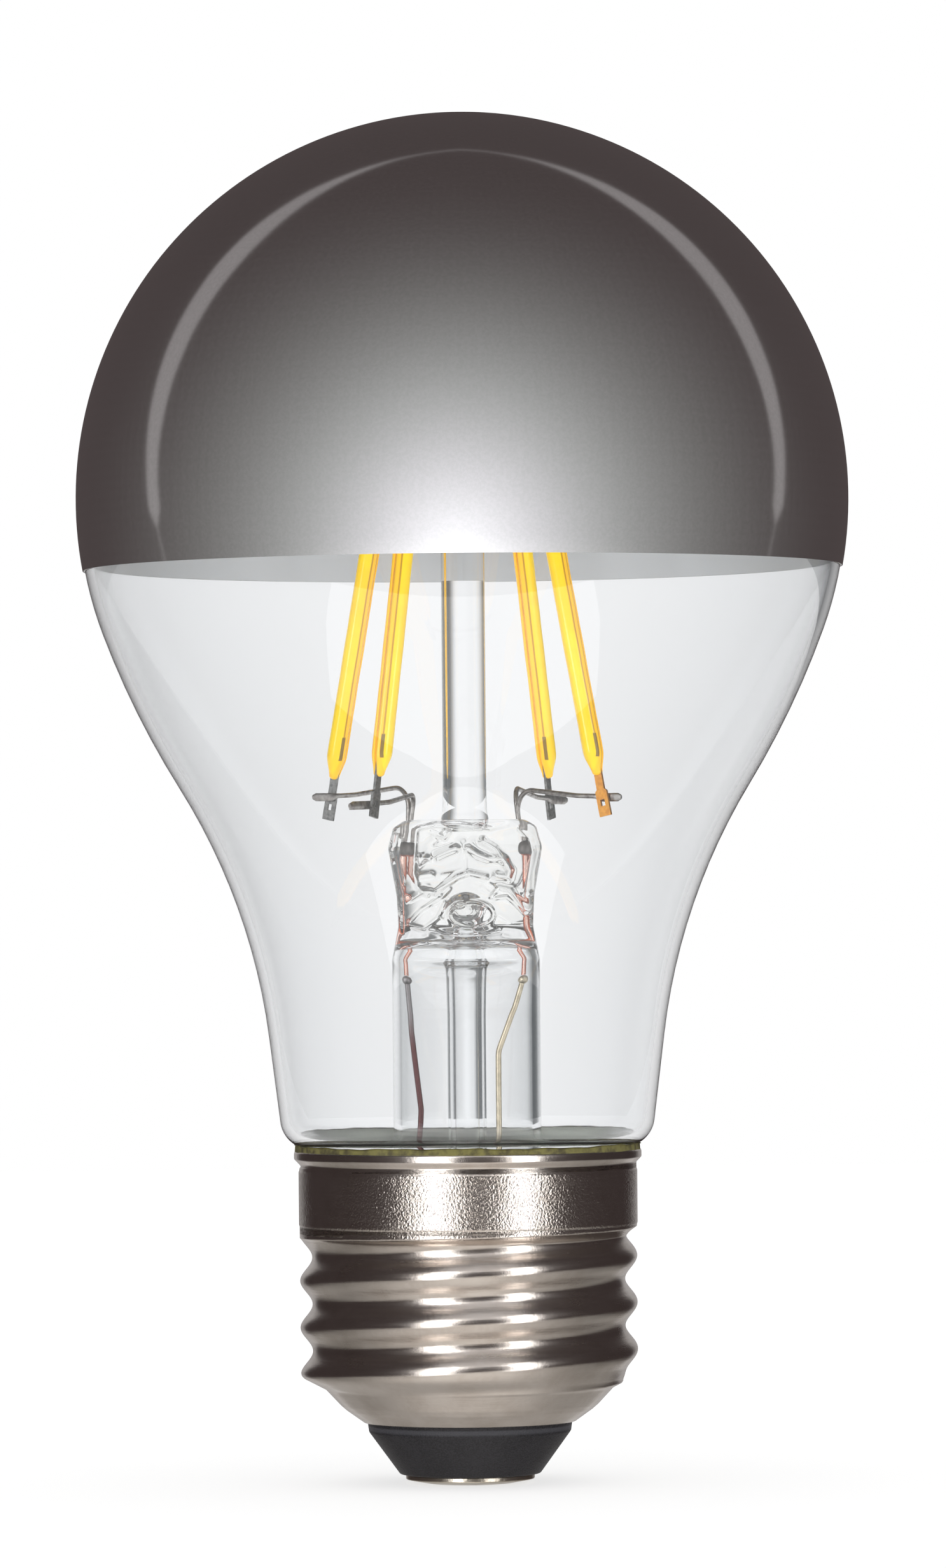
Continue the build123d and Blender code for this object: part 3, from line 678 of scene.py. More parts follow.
def seal_copper():
    """Copper-clad wire of the press, with an oxidised grey weld at its top, and a painted highlight:
    near-white metal where the wire faces the eye.
    """
    f = new_finish("seal_copper")
    place = f.place()
    patch = f.noise(place, 0.8, 3.0)
    red = f.mix(patch.between(0.35, 0.7), colour(0.8, 0.15, 0.03), colour(0.58, 0.08, 0.015))
    weld = f.part(place, "Z").between(knot_height - 0.45, knot_height - 0.3)
    relief = f.bump(f.noise(place, 0.2, 3.0), 0.01)
    copper = f.surface({
        "Base Color": f.mix(weld, red, colour(0.1, 0.09, 0.085)),
        "Metallic": 1.0,
        "Roughness": 0.2 + 0.1 * patch + 0.2 * weld,
        "Normal": relief,
    })
    # Painted highlight: near-white metal that shows where the wire faces the eye.
    facing_highlight = f.surface({
        "Base Color": colour(0.95, 0.84, 0.77),
        "Metallic": 1.0,
        "Roughness": 0.25,
        "Normal": relief,
    })
    # How much of the painted highlight shows: most where the wire faces the eye, none on the weld.
    share = (1 - f.facing().between(0.05, 0.2)) * (1 - weld) * 0.62
    return f.output(f.either(share, copper, facing_highlight))


def lead_wire():
    """Outer leads: the left one is grey and turns a burnt red-brown lower down, the right one is tan."""
    f = new_finish("tinned_wire")
    place = f.place()
    patch = f.noise(place, 0.7, 4.0)
    burnt = 1 - f.part(place, "Z").between(33.5, 37.0)
    left = f.mix(burnt, colour(0.24, 0.22, 0.22), colour(0.11, 0.035, 0.035))
    right = f.mix(patch.between(0.35, 0.7), colour(0.62, 0.54, 0.4), colour(0.42, 0.36, 0.26))
    return f.output(f.surface({
        "Base Color": f.mix(f.part(place, "X").between(-0.5, 0.5), left, right),
        "Metallic": 0.8,
        "Roughness": 0.32 + 0.12 * patch,
        "Normal": f.bump(f.noise(place, 0.3, 3.0), 0.012),
    }))


def make_finishes():
    """Every finish by the name of its material slot."""
    finishes = {
        "clear_glass": clear_glass("clear_glass", (0.965, 0.971, 0.978), (0.925, 0.934, 0.944)),
        "crown_mirror": crown_mirror(),
        "stem_glass": clear_glass(
            "stem_glass", (0.99, 0.993, 0.995), (0.95, 0.96, 0.965),
            press_tint=(0.94, 0.943, 0.93), press_edge_tint=(0.76, 0.765, 0.745),
        ),
        "cap_nickel": sheet_nickel(),
        "cement": cement(),
        "black_insulator": insulator_glass(),
        "contact_nickel": contact_metal(),
        "tinned_wire": lead_wire(),
        "phosphor": phosphor(),
        "seal_copper": seal_copper(),
    }
    for slot, (light, dark, settings) in PLAIN_FINISHES.items():
        finishes[slot] = plain_finish(slot, light, dark, **settings)
    return finishes


# The pieces


def glass_line(inset):
    """The bulb's line from the crown to the neck's end, moved inwards by the inset."""
    pen = Pen((0, overall_height - inset), 0, arc_step=2.0)
    pen.arc(bulb_radius - inset, -(90 + crown_sweep))
    pen.arc(flank_radius - inset, crown_sweep - flank_angle)
    pen.arc(neck_sweep_radius + inset, flank_angle - neck_taper)
    pen.line(neck_length)
    pen.arc(shoulder_radius - inset, neck_taper - shoulder_angle)
    pen.arc(neck_foot_radius + inset, shoulder_angle)
    return pen.points + [Vector((pen.points[-1].x, seal_height))]


def glass_bulb():
    wall = glass_line(0) + glass_line(glass_wall)[::-1]
    piece = spun("blown_bulb", wall)
    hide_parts("glass_bulb")
    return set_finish(piece, "clear_glass")


def mirror_crown():
    """Coating over the crown, closed by its own thickness."""
    turn = 90 + degrees(asin(mirror_drop / bulb_radius))
    lines = []
    for radius in (bulb_radius + mirror_gap, bulb_radius + mirror_gap + mirror_thickness):
        lines.append(Pen((0, crown_centre + radius), 0, arc_step=1.6).arc(radius, -turn).points)
    piece = spun("mirror_coating", lines[1] + lines[0][::-1])
    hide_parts("mirror_crown")
    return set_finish(piece, "crown_mirror")


def thread_relief(places):
    """How far the rolled thread stands out from the shell's plain wall at each place."""
    x, y, z = places.T
    radius = np.hypot(x, y)
    turn = np.arctan2(y, x) / (2 * pi)
    phase = (z - thread_right_crest) / thread_pitch - turn
    ridge = (thread_major_radius - thread_minor_radius) * (0.5 + 0.5 * np.cos(2 * pi * phase))
    entry = bowl_radius + (z - bowl_top) / thread_entry_slope
    room = np.clip(entry - np.minimum(radius, thread_minor_radius), 0, None)
    leaving = np.clip(thread_major_radius - radius, 0, None)
    above_bowl = z > bowl_top
    return np.where(above_bowl, np.minimum(np.minimum(ridge, room), leaving), 0)


def screw_shell():
    """Shell of sheet metal: bowl, rolled thread, collar, groove and rolled lip."""
    slope = bowl_height / (bowl_radius - foot_corner)
    thread_floor = bowl_top + (thread_minor_radius - bowl_radius) * slope
    step = collar_radius - thread_minor_radius
    corners = [
        (foot_corner, shell_foot),
        (foot_corner + 1.55, shell_foot + 1.1),
        (thread_minor_radius, thread_floor),
        (thread_minor_radius, collar_start),
        (collar_radius, collar_start + step),
        (collar_radius, collar_end),
        (groove_radius, groove_height),
        (lip_radius, lip_height),
        (lip_radius, shell_top),
    ]
    outside = spaced(rounded(corners, [3.0, 1.0, 0.4, 0.4, 0.2, 0.2, 0.2]), 0.11)
    inner_corners = [(radius - sheet_thickness, height) for radius, height in corners]
    inside = spaced(rounded(inner_corners, [3.0, 0.8, 0.5, 0.3, 0.2, 0.2, 0.2]), 0.4)
    roll = Pen(outside[-1], 90, arc_step=20).arc(lip_roll_radius, 180).points
    piece = spun("rolled_shell", outside[:-1] + roll + inside[::-1] + [outside[0]], steps=256)
    places = vertex_array(piece)
    relief = thread_relief(places)
    radius = np.hypot(places[:, 0], places[:, 1])
    places[:, :2] *= ((radius + relief) / radius)[:, None]
    move_vertices(piece, places)
    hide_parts("screw_shell")
    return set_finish(piece, "cap_nickel")


def centre_rod():
    """Glass rod with its foot melted into the press and a bead on its top."""
    pen = Pen((rod_radius, press_top + rod_straight_start), 90, arc_step=6.0)
    bead_centre = rod_high.z - rod_bead_radius
    turn = radians(rod_bead_turn)
    neck = rod_bead_radius * cos(turn) - rod_radius
    pen.line(bead_centre - rod_bead_radius * sin(turn) - press_top - rod_straight_start - neck)
    bead = Pen((0, rod_high.z), 0, arc_step=6.0).arc(rod_bead_radius, -(90 + rod_bead_turn)).points
    foot = [(radius, press_top + height) for radius, height in ROD_FOOT]
    piece = spun("rod_glass", foot + pen.points + bead[::-1], steps=96)
    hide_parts("centre_rod")
    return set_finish(piece, "stem_glass")


def stem_section_table():
    """Heights of the stem with its half width, half depth and squareness, smoothed along its height."""
    table = np.array(STEM_SECTIONS)
    heights = np.arange(table[0, 0], table[-1, 0] + section_step, section_step)
    smoothing = np.hanning(section_smoothing) / np.hanning(section_smoothing).sum()
    columns = [np.interp(heights, table[:, 0], column) for column in table[:, 1:].T]
    padded = [np.pad(column, section_smoothing // 2, "edge") for column in columns]
    return [heights] + [np.convolve(column, smoothing, "valid") for column in padded]


def section_line(half_width, half_depth, squareness):
    """Evenly spaced points of a rounded section, one for each step round the stem."""
    turn = np.linspace(0, 2 * pi, 5 * stem_steps + 1)
    wide, deep = np.cos(turn), np.sin(turn)
    x = half_width * np.sign(wide) * np.abs(wide) ** (2 / squareness)
    y = half_depth * np.sign(deep) * np.abs(deep) ** (2 / squareness)
    length = np.concatenate([[0], np.cumsum(np.hypot(np.diff(x), np.diff(y)))])
    even = np.linspace(0, length[-1], stem_steps, endpoint=False)
    return np.column_stack([np.interp(even, length, x), np.interp(even, length, y)])


def flatten_stem(places):
    """Squeezes the turned stem above its tube into the flat press, leaving its bore round."""
    x, y, z = places.T
    radius = np.hypot(x, y)
    step = np.rint(np.arctan2(y, x) / (2 * pi) * stem_steps).astype(int) % stem_steps
    heights, *columns = stem_section_table()
    for height in np.unique(np.round(z[z > heights[0]], 4)):
        ring = np.abs(z - height) < 0.0001
        half_width, half_depth, squareness = (np.interp(height, heights, column) for column in columns)
        walled = ring & (height < press_floor + 0.01) & (radius < stem_tube_radius - stem_wall / 2)
        for members, inset in ((ring & ~walled, 0), (walled, stem_wall)):
            line = section_line(half_width - inset, half_depth - inset, squareness)
            share = radius[members] / (stem_tube_radius - inset)
            flat = line[step[members]] * share[:, None]
            round_share = np.clip((radius[members] - round_core_radius) / core_blend, 0, 1)[:, None]
            places[members, :2] = places[members, :2] * (1 - round_share) + flat * round_share


def distance_to_line(x, z, points):
    """Distance of each place from a broken line, seen from the front."""
    nearest = np.full(x.shape, 99.0)
    for (ax, az), (bx, bz) in zip(points, points[1:]):
        along_x, along_z = bx - ax, bz - az
        share = ((x - ax) * along_x + (z - az) * along_z) / (along_x**2 + along_z**2)
        share = np.clip(share, 0, 1)
        nearest = np.minimum(nearest, np.hypot(x - ax - share * along_x, z - az - share * along_z))
    return nearest


def ellipse_points(x, z, half_width, half_height, steps=24):
    turns = [2 * pi * step / steps for step in range(steps + 1)]
    return [(x + half_width * cos(turn), z + half_height * sin(turn)) for turn in turns]


def fold_press(places, on_surface):
    """Presses the pinch's folds into the outside of the stem, deeper on its front than on its back."""
    x, y, z = places.T
    rings = [(ellipse_points(*ring), depth, width) for ring, depth, width in PRESS_RINGS]
    front, back = np.zeros(len(x)), np.zeros(len(x))
    for points, depth, width in PRESS_FOLDS + rings:
        on_front = distance_to_line(x, z - press_base, points)
        on_back = distance_to_line(-x * 0.95, z - press_base - back_fold_rise, points)
        front += front_fold_share * depth * np.exp(-(on_front / width) ** 2)
        back += back_fold_share * depth * np.exp(-(on_back / width) ** 2)
    depth = np.where(y < 0, front, back) * on_surface
    core = np.clip(x, -press_core, press_core)
    reach = np.hypot(x - core, y)
    inwards = depth / np.maximum(reach, 0.5)
    places[:, 0] -= (x - core) * inwards
    places[:, 1] -= y * inwards


def stem_outline():
    """Line of the stem from the top of its hollow, round the flare's rim, to the press's top."""
    reach = flare_radius - glass_wall - stem_tube_radius
    inner = stem_tube_radius - stem_wall
    rim = flare_radius - glass_wall
    tube = Pen((rim, seal_height), 180, 7.5).arc(reach, -90).points
    wall = spaced([tube[-1], (stem_tube_radius, squeeze_start)], 2.0)
    press = spaced([wall[-1], (stem_tube_radius, press_top - press_brow)], 0.06)
    brow = Pen(press[-1], 90, 15).arc(press_brow, 90).points
    crest = spaced([brow[-1], (0, press_top)], 0.5)
    outside = [(flare_radius, seal_height)] + tube + wall[1:] + press[1:] + brow[1:] + crest[1:]

    flare = Pen((rim, seal_height - stem_wall), 180, 9).arc(reach + stem_wall, -90).points
    bend = Pen((inner, press_floor - stem_bend_radius), 90, 15).arc(stem_bend_radius, 90).points
    collar = Pen((mouth_radius, press_floor), 180, 12).arc(mouth_bend_radius, 88).points
    beside = exhaust_radius + 0.02
    start = asin(exhaust_bore / bubble_radius)
    bubble_foot = bubble_height - bubble_radius * cos(start)
    bore = [(exhaust_bore, press_floor), (exhaust_bore, bubble_foot)]
    bubble = Pen(bore[1], degrees(start), 9).arc(bubble_radius, 180 - degrees(start)).points
    inside = [(flare_radius, seal_height - stem_wall)] + flare
    inside += spaced([flare[-1], bend[0]], 2.5)[1:] + bend[1:] + spaced([bend[-1], collar[0]], 0.5)[1:]
    inside += collar[1:] + [(beside, collar[-1].y), (beside, press_floor)]
    inside += bore + bubble[1:-1] + [(0, bubble[-1].y)]
    return inside[::-1] + outside


def stem_glass():
    """Flare, tube and press in one piece, with the pinch's folds and the pump tube's mouth."""
    piece = spun("pressed_stem", stem_outline(), steps=stem_steps)
    places = vertex_array(piece)
    radius = np.hypot(places[:, 0], places[:, 1])
    on_surface = np.clip((places[:, 2] - press_floor) / 0.8, 0, 1) * (radius > 5.0)
    flatten_stem(places)
    fold_press(places, on_surface)
    move_vertices(piece, places)
    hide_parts("stem_glass")
    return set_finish(piece, "stem_glass")


def exhaust_tube():
    """Pump tube below the press, melted shut at its tip."""
    tip = exhaust_low.z + exhaust_tip_length
    point = Pen((0, exhaust_low.z), 0, 15).arc(exhaust_point_radius, exhaust_point_turn).points
    shoulder = spaced([point[-1], (exhaust_radius, tip)], 0.6)[1:]
    wall = spaced([(exhaust_radius, tip), (exhaust_radius, exhaust_high.z)], 2)
    bore_tip = tip + exhaust_bore
    inside = spaced([(exhaust_bore, exhaust_high.z), (exhaust_bore, bore_tip)], 2)
    closed_end = [(0.4, tip + 0.25), (0, tip)]
    piece = spun("pump_tube", point + shoulder + wall + inside + closed_end, steps=96)
    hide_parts("exhaust_tube")
    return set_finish(piece, "stem_glass")


def bead_outline():
    """Half line of a bead of unit radius: a long body that narrows like a bottle's neck at both ends."""
    points = [Vector((0, 0))]
    ends = [bead_tip_length * (1 - cos(radians(angle))) for angle in (20, 40, 60, 75, 90)]
    neck = [bead_tip_length + (bead_neck_length - bead_tip_length) * step / 14 for step in range(1, 15)]
    half_body = filament_length / 2 - bead_neck_length
    body = [bead_neck_length + half_body * step / 20 for step in range(1, 21)]
    for height in ends + neck + body:
        share = min(max(height / bead_neck_length, 0), 1)
        swell = bead_tip_share + (1 - bead_tip_share) * share * share * (3 - 2 * share)
        closing = min(height / bead_tip_length, 1)
        points.append(Vector((swell * (1 - (1 - closing) ** 2) ** 0.5, height)))
    other_end = [Vector((point.x, filament_length - point.y)) for point in points[-2::-1]]
    return points + other_end


def filament_frame(turn):
    """Matrix that puts a filament's own lengths in place: X outwards, Y round the axis, Z along it."""
    angle, lean = radians(first_filament_angle + 90 * turn), radians(filament_lean)
    outwards = Vector((cos(angle), sin(angle), 0))
    up = Vector((0, 0, 1))
    along = up * cos(lean) - outwards * sin(lean)
    across = outwards * cos(lean) + up * sin(lean)
    round_axis = along.cross(across)
    origin = outwards * filament_base_radius + up * filament_base_height
    turning = Matrix((across, round_axis, along)).transposed()
    return Matrix.Translation(origin * MM) @ turning.to_4x4()


def support_wire(turn, place, weld_drop, overrun):
    """Support wire of the frame with its welded end pressed flat across the tab."""
    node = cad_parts[f"support_wire_{place}"]
    start_piece()
    piece = node.copy()
    piece.data = node.data.copy()
    bpy.context.collection.objects.link(piece)
    piece.select_set(True)
    bpy.context.view_layer.objects.active = piece
    bpy.ops.mesh.customdata_custom_splitnormals_clear()
    angle = radians(first_filament_angle + 90 * turn)
    outwards = Vector((cos(angle), sin(angle), 0))
    weld_radius = filament_base_radius + weld_drop * tan(radians(filament_lean))
    bpy.ops.object.mode_set(mode="EDIT")
    close_mesh()
    for step in range(weld_cuts):
        cut = outwards * (weld_radius - weld_run + (overrun + weld_run) * step / (weld_cuts + 0.4)) * MM
        bpy.ops.mesh.select_all(action="SELECT")
        bpy.ops.mesh.bisect(plane_co=cut, plane_no=outwards)
    bpy.ops.object.mode_set(mode="OBJECT")

    places = vertex_array(piece)
    along = places[:, 0] * cos(angle) + places[:, 1] * sin(angle)
    across = places[:, 1] * cos(angle) - places[:, 0] * sin(angle)
    tip = along.max()
    tip_height = places[along > tip - 0.05, 2].mean()
    middle_height = tip_height + (tip - along) * wire_droop
    middle_across = across[along > tip - 0.05].mean()
    press = np.clip((along - weld_radius + 0.9) / 0.8, 0, 1)
    press *= press * (3 - 2 * press) * (np.abs(places[:, 2] - middle_height) < 0.5)
    closing = np.where(along > tip - 0.02, 0.55, 1.0)
    places[:, 2] = middle_height + (places[:, 2] - middle_height) * (1 + weld_spread * press) * closing
    thinner = -(across - middle_across) * weld_thinning * press
    places[:, 0] -= thinner * sin(angle)
    places[:, 1] += thinner * cos(angle)
    move_vertices(piece, places)
    bpy.ops.object.shade_smooth_by_angle(angle=radians(50))
    piece.name = piece.data.name = f"welded_wire_{place}"
    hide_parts(f"support_wire_{place}")
    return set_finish(piece, "support_wire")


def phosphor_bead(name, width, height, unevenness):
    """Bead with a flat back that lies on the strip, at the foot of the scene until it is placed."""
    piece = spun(name, bead_outline(), steps=32)
    places = vertex_array(piece)
    x, y, z = places.T
    wave = 1 - unevenness * (0.5 + 0.25 * np.sin(z * 1.7 + 0.4) + 0.25 * np.sin(z * 0.83 + 2.0))
    places[:, 0] = x * wave * width / 2
    places[:, 1] = half_strip + np.maximum(y, 0) * wave * height
    move_vertices(piece, places)
    return piece


def phosphor_beads():
    """The large and the small bead of each filament, copied from one of each."""
    patterns = {
        "face": (phosphor_bead("large_bead", big_bead_width, big_bead_height, 0.03), 1),
        "back": (phosphor_bead("small_bead", small_bead_width, small_bead_height, 0.05), -1),
    }
    pieces = []
    for turn, (place, bead_side) in enumerate(FILAMENT_BEAD_SIDES.items()):
        for part, (pattern, side) in patterns.items():
            bead = pattern.copy()
            bead.data = pattern.data.copy()
            bead.name = bead.data.name = f"{pattern.name}_{place}"
            bpy.context.collection.objects.link(bead)
            facing = Matrix.Rotation(0 if side * bead_side > 0 else pi, 4, "Z")
            bead.data.transform(filament_frame(turn) @ facing)
            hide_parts(f"phosphor_{part}_{place}")
            pieces.append(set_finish(bead, "phosphor"))
    for pattern, _ in patterns.values():
        bpy.data.objects.remove(pattern)
    return pieces


def capping_cement():
    """Ring of cement round the neck's foot, with an uneven edge where it stands proud of the lip."""
    edge, crest = cement_high.x, cement_high.z + cement_wave
    in_collar = collar_radius - sheet_thickness - 0.02
    in_groove = groove_radius - sheet_thickness - 0.02
    in_lip = lip_radius - sheet_thickness - 0.1
    neck = [point for point in glass_line(-0.01) if cement_low.z < point.y < crest - 0.1]
    outside = [
        (in_collar, cement_low.z),
        (in_collar, collar_end),
        (in_groove, groove_height),
        (in_lip, lip_height),
        (in_lip, shell_top + 0.02),
        (edge, shell_top + 0.04),
        (edge, shell_top + 0.25),
        (edge - 0.03, crest - 0.25),
        (edge - 0.12, crest - 0.08),
    ]
    start = (neck[-1].x, cement_low.z)
    piece = spun("cement_ring", [start] + outside + neck + [start], steps=240)
    places = vertex_array(piece)
    turn = np.arctan2(places[:, 1], places[:, 0])
    wave = 0.5 + 0.2 * np.sin(5 * turn + 0.7) + 0.17 * np.sin(13 * turn) + 0.13 * np.sin(31 * turn + 1.3)
    radius = np.hypot(places[:, 0], places[:, 1])
    loose = (places[:, 2] > shell_top + 0.2) & (radius > edge - 0.2)
    places[loose, 2] -= cement_wave * wave[loose]
    places[loose, :2] *= (1 - 0.06 * wave[loose] / radius[loose])[:, None]
    move_vertices(piece, places)
    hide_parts("capping_cement")
    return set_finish(piece, "cement")


def insulator():
    """Cone of insulating glass with softened edges, and its plug in the shell's foot."""
    rim = foot_corner - sheet_thickness
    plug_rise = insulator_high.z - shell_foot
    plug = rim + plug_rise * (bowl_radius - foot_corner) / bowl_height - plug_clearance
    corners = [
        (contact_shank_radius + touch_gap, contact_height),
        (insulator_foot_radius, contact_height),
        (rim - insulator_rim_bevel, shell_foot - insulator_rim_depth),
        (rim, shell_foot),
        (plug, insulator_high.z),
        (contact_shank_radius + touch_gap, insulator_high.z),
    ]
    outline = rounded(corners, [0.25, 0.4, 0.0, 0.0], 12)
    piece = spun("insulating_cone", outline + [outline[0]], steps=192)
    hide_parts("insulator")
    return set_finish(piece, "black_insulator")


def centre_contact():
    """Domed contact disc with its hollow shank, riveted over inside the insulator."""
    edge = insulator_foot_radius - contact_margin
    corners = [
        (0, 0),
        (contact_flat_radius, 0),
        (edge, contact_edge_height),
        (edge, contact_height - touch_gap),
        (contact_shank_radius, contact_height - touch_gap),
        (contact_shank_radius, insulator_high.z + touch_gap),
        (contact_head_radius, insulator_high.z + touch_gap),
        (contact_head_radius, contact_high.z),
        (shank_bore, contact_high.z),
        (shank_bore, contact_high.z - shank_bore_depth),
        (0, contact_high.z - shank_bore_depth),
    ]
    outline = rounded(corners, [1.2, 0.12, 0.1, 0.0, 0.0, 0.1, 0.15, 0.1, 0.0], 8)
    piece = spun("contact_disc", outline, steps=128)
    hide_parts("centre_contact")
    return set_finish(piece, "contact_nickel")


def ride_all(pieces, finishes):
    """Gives each new piece its finish and lets it ride on the bulb's one body."""
    for piece in pieces:
        piece.data.materials.clear()
        piece.data.materials.append(finishes[piece["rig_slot"]])
        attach(piece, "root")


def dress_nodes(finishes):
    """Gives every node of the frame the finish that its slot names."""
    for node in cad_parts.values():
        for material_slot in node.material_slots:
            material_slot.material = finishes[material_slot.material.name]


# Stage, lights and camera


def studio_world():
    """White behind the bulb, with the dark room and its floor that polished faces mirror."""
    f = Finish(bpy.data.worlds.new("studio"))
    bpy.context.scene.world = f.owner
    direction = f.node("ShaderNodeTexCoord", output="Generated")
    right, back, up = (f.part(direction, axis) for axis in "XYZ")
    room = colour(0.045, 0.035, 0.035)
    sideways = f.math("ABSOLUTE", right)
    floor_light = (1 - 0.5 * back.between(-0.45, 0.5)) * (1 - 0.55 * sideways.between(0.2, 0.9))
    floor_tone = f.vector("SCALE", (0.8, 0.77, 0.73), scale=floor_light)
    room = f.mix((0 - up).between(0.22, 0.5), room, floor_tone)

    straight = f.math("ARCCOSINE", f.math("ABSOLUTE", back))
    to_right = straight.between(radians(11), radians(30)) * right.between(-0.05, 0.15)
    to_left = straight.between(radians(26), radians(62))
    dark = f.math("MAXIMUM", to_right, to_left)
    seen_through = f.mix(dark, WHITE, colour(0.11, 0.12, 0.125))

    glossy, through = f.light_path("Is Glossy Ray"), f.light_path("Is Transmission Ray")
    light = f.mix(glossy, WHITE, room)
    light = f.mix(through, light, seen_through)
    background = f.node("ShaderNodeBackground", None, {"Color": light, "Strength": 1.0})
    f.output(background, "ShaderNodeOutputWorld")
    f.owner.cycles.sampling_method = "NONE"


def pale_floor():
    """Pale floor that shows white and keeps the bulb's shadow."""
    start_piece()
    bpy.ops.mesh.primitive_circle_add(
        vertices=96, radius=floor_radius * MM, fill_type="NGON", location=(0, 0, -floor_gap * MM)
    )
    floor = finish_piece("floor")
    f = new_finish("pale_floor")
    glow = f.node("ShaderNodeEmission", None, {"Color": WHITE, "Strength": 0.66})
    matt = f.node("ShaderNodeBsdfDiffuse", None, {"Color": colour(0.4, 0.4, 0.4)})
    seen = f.node("ShaderNodeAddShader", None, {0: glow, 1: matt})
    plain = f.node("ShaderNodeBsdfDiffuse", None, {"Color": colour(0.7, 0.7, 0.7)})
    bounce = f.light_path("Is Diffuse Ray")
    floor.data.materials.append(f.output(f.either(bounce, seen, plain)))
    floor.visible_glossy = False


def only_for(light, receivers):
    """Links a light to the pieces that it may reach."""
    group = bpy.data.collections.new(f"{light.name}_reach")
    for piece in receivers:
        group.objects.link(piece)
    light.light_linking.receiver_collection = group


def crown_glow(mirror):
    """Wide soft light in front of the bulb and two curved lamps beside it, which only the crown mirrors."""
    start_piece()
    bpy.ops.mesh.primitive_uv_sphere_add(segments=48, ring_count=24, radius=glow_radius * MM)
    dome = finish_piece("glow_dome")
    f = new_finish("glow")
    place = f.node("ShaderNodeTexCoord", output="Object")
    direction = f.vector("NORMALIZE", f.vector("SUBTRACT", place, (0, 0, crown_centre * MM)))
    right, back, up = (f.part(direction, axis) for axis in "XYZ")
    height_angle = f.math("ARCTAN2", up, f.math("ABSOLUTE", right))
    low_share = 0.55 * height_angle.between(radians(-5), 0.0)
    high_share = 0.45 * height_angle.between(0.0, radians(36))
    lamp_share = (low_share + high_share) * (1 - height_angle.between(radians(46), radians(86)))
    lamp_angle = radians(104.8) + radians(2.2) * right + 0.196 * height_angle
    off_lamp = f.math("ABSOLUTE", f.math("ARCCOSINE", 0 - back) - lamp_angle)
    lamp = (lamp_share * radians(4.4) - off_lamp).between(radians(-1.0), radians(0.7))

    stretched = f.vector("NORMALIZE", f.vector("MULTIPLY", direction, (1.2, 1, 1)))
    sideways, tilt = radians(glow_sideways), radians(glow_tilt)
    middle = (sin(sideways) * cos(tilt), -cos(sideways) * cos(tilt), sin(tilt))
    towards = f.vector("DOT_PRODUCT", stretched, middle, output="Value")
    share = f.math("MAXIMUM", 1 - f.math("ARCCOSINE", towards) / radians(glow_reach), 0)
    share = f.math("MINIMUM", share, 1)
    strength = share * share * share
    tone = f.mix(strength.between(0.05, 0.6), colour(0.95, 1.0, 0.98), colour(0.99, 0.99, 1.03))
    light = f.vector("SCALE", tone, scale=strength * 1.5)
    light = f.vector("ADD", light, (0.03, 0.025, 0.025))
    light = f.vector("ADD", light, f.vector("SCALE", (0.2, 0.192, 0.194), scale=lamp))
    glow = f.node("ShaderNodeEmission", None, {"Color": light, "Strength": 1.0})
    clear = f.node("ShaderNodeBsdfTransparent", None, {"Color": WHITE})
    dome.data.materials.append(f.output(f.node("ShaderNodeAddShader", None, {0: glow, 1: clear})))
    for ray in ("camera", "diffuse", "transmission", "volume_scatter", "shadow"):
        setattr(dome, f"visible_{ray}", False)
    only_for(dome, [mirror])


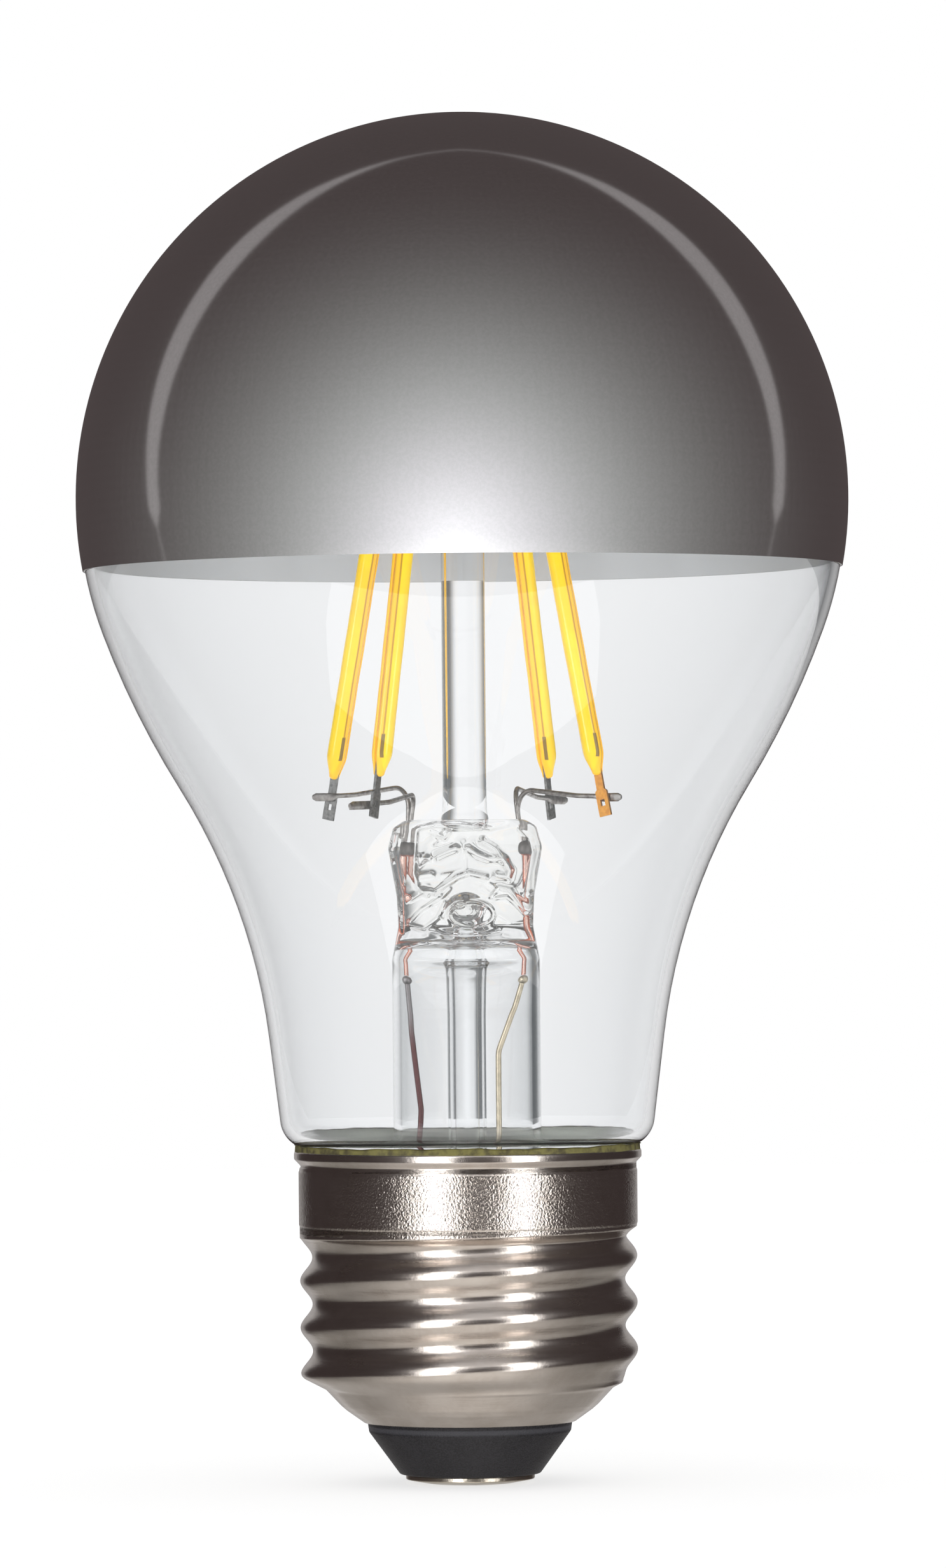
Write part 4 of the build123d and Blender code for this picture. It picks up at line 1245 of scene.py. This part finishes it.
def softbox(name, azimuth, elevation, distance, width, height, radiance, receivers, mirrored=True):
    """Soft light that reaches only the pieces that it is there for: mirrored by them, or lighting them."""
    turn, rise = radians(azimuth), radians(elevation)
    towards = Vector((sin(turn) * cos(rise), -cos(turn) * cos(rise), sin(rise)))
    aim = Vector((0, 0, lamp_aim_height))
    start_piece()
    bpy.ops.object.light_add(type="AREA", location=(aim + towards * distance) * MM)
    lamp = bpy.context.object
    lamp.name = name
    lamp.rotation_euler = towards.to_track_quat("Z", "Y").to_euler()
    lamp.data.shape = "RECTANGLE"
    lamp.data.size = width * MM
    lamp.data.size_y = height * MM
    lamp.data.energy = radiance * pi * width * height * MM**2
    lamp.visible_camera = False
    lamp.visible_diffuse = not mirrored
    lamp.visible_glossy = mirrored
    lamp.visible_transmission = False
    only_for(lamp, receivers)


def photo_camera():
    """Camera at the photograph's place, a little below the bulb's middle."""
    eye = Vector((aim_right, -camera_distance, camera_height)) * MM
    aim = Vector((aim_right, 0, aim_height)) * MM
    start_piece()
    bpy.ops.object.camera_add(location=eye)
    camera = bpy.context.object
    camera.name = "photo_camera"
    turn = (aim - eye).to_track_quat("-Z", "Y") @ Quaternion((0, 0, 1), radians(camera_roll))
    camera.rotation_euler = turn.to_euler()
    camera.data.sensor_width = sensor_size
    camera.data.lens = sensor_size / 2 / tan(radians(view_angle) / 2)
    camera.data.clip_start = 0.01
    camera.data.clip_end = 20
    bpy.context.scene.camera = camera


FINISHES = make_finishes()
dress_nodes(FINISHES)
bulb, mirror, shell = glass_bulb(), mirror_crown(), screw_shell()
cone, contact = insulator(), centre_contact()
wires = [support_wire(turn, place, *weld) for turn, (place, weld) in enumerate(WELDS.items())]
inside = [centre_rod(), stem_glass(), exhaust_tube(), capping_cement()] + phosphor_beads() + wires
cap_pieces = [shell, cone, contact]
ride_all([bulb, mirror] + cap_pieces + inside, FINISHES)

studio_world()
pale_floor()
crown_glow(mirror)
inner_pieces = inside + list(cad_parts.values())
for lamps, receivers in ((CAP_LAMPS, cap_pieces), (INNER_LAMPS, inner_pieces)):
    for lamp_name, lamp_settings in lamps.items():
        softbox(lamp_name, *lamp_settings, receivers)
softbox("low_fill", *LOW_FILL, inner_pieces + [mirror], mirrored=False)
softbox("glass_lamp", *GLASS_LAMP, [bulb])
photo_camera()
bpy.context.scene.view_settings.view_transform = "Standard"
cycles = bpy.context.scene.cycles
cycles.max_bounces = cycles.transmission_bounces = cycles.transparent_max_bounces = 32
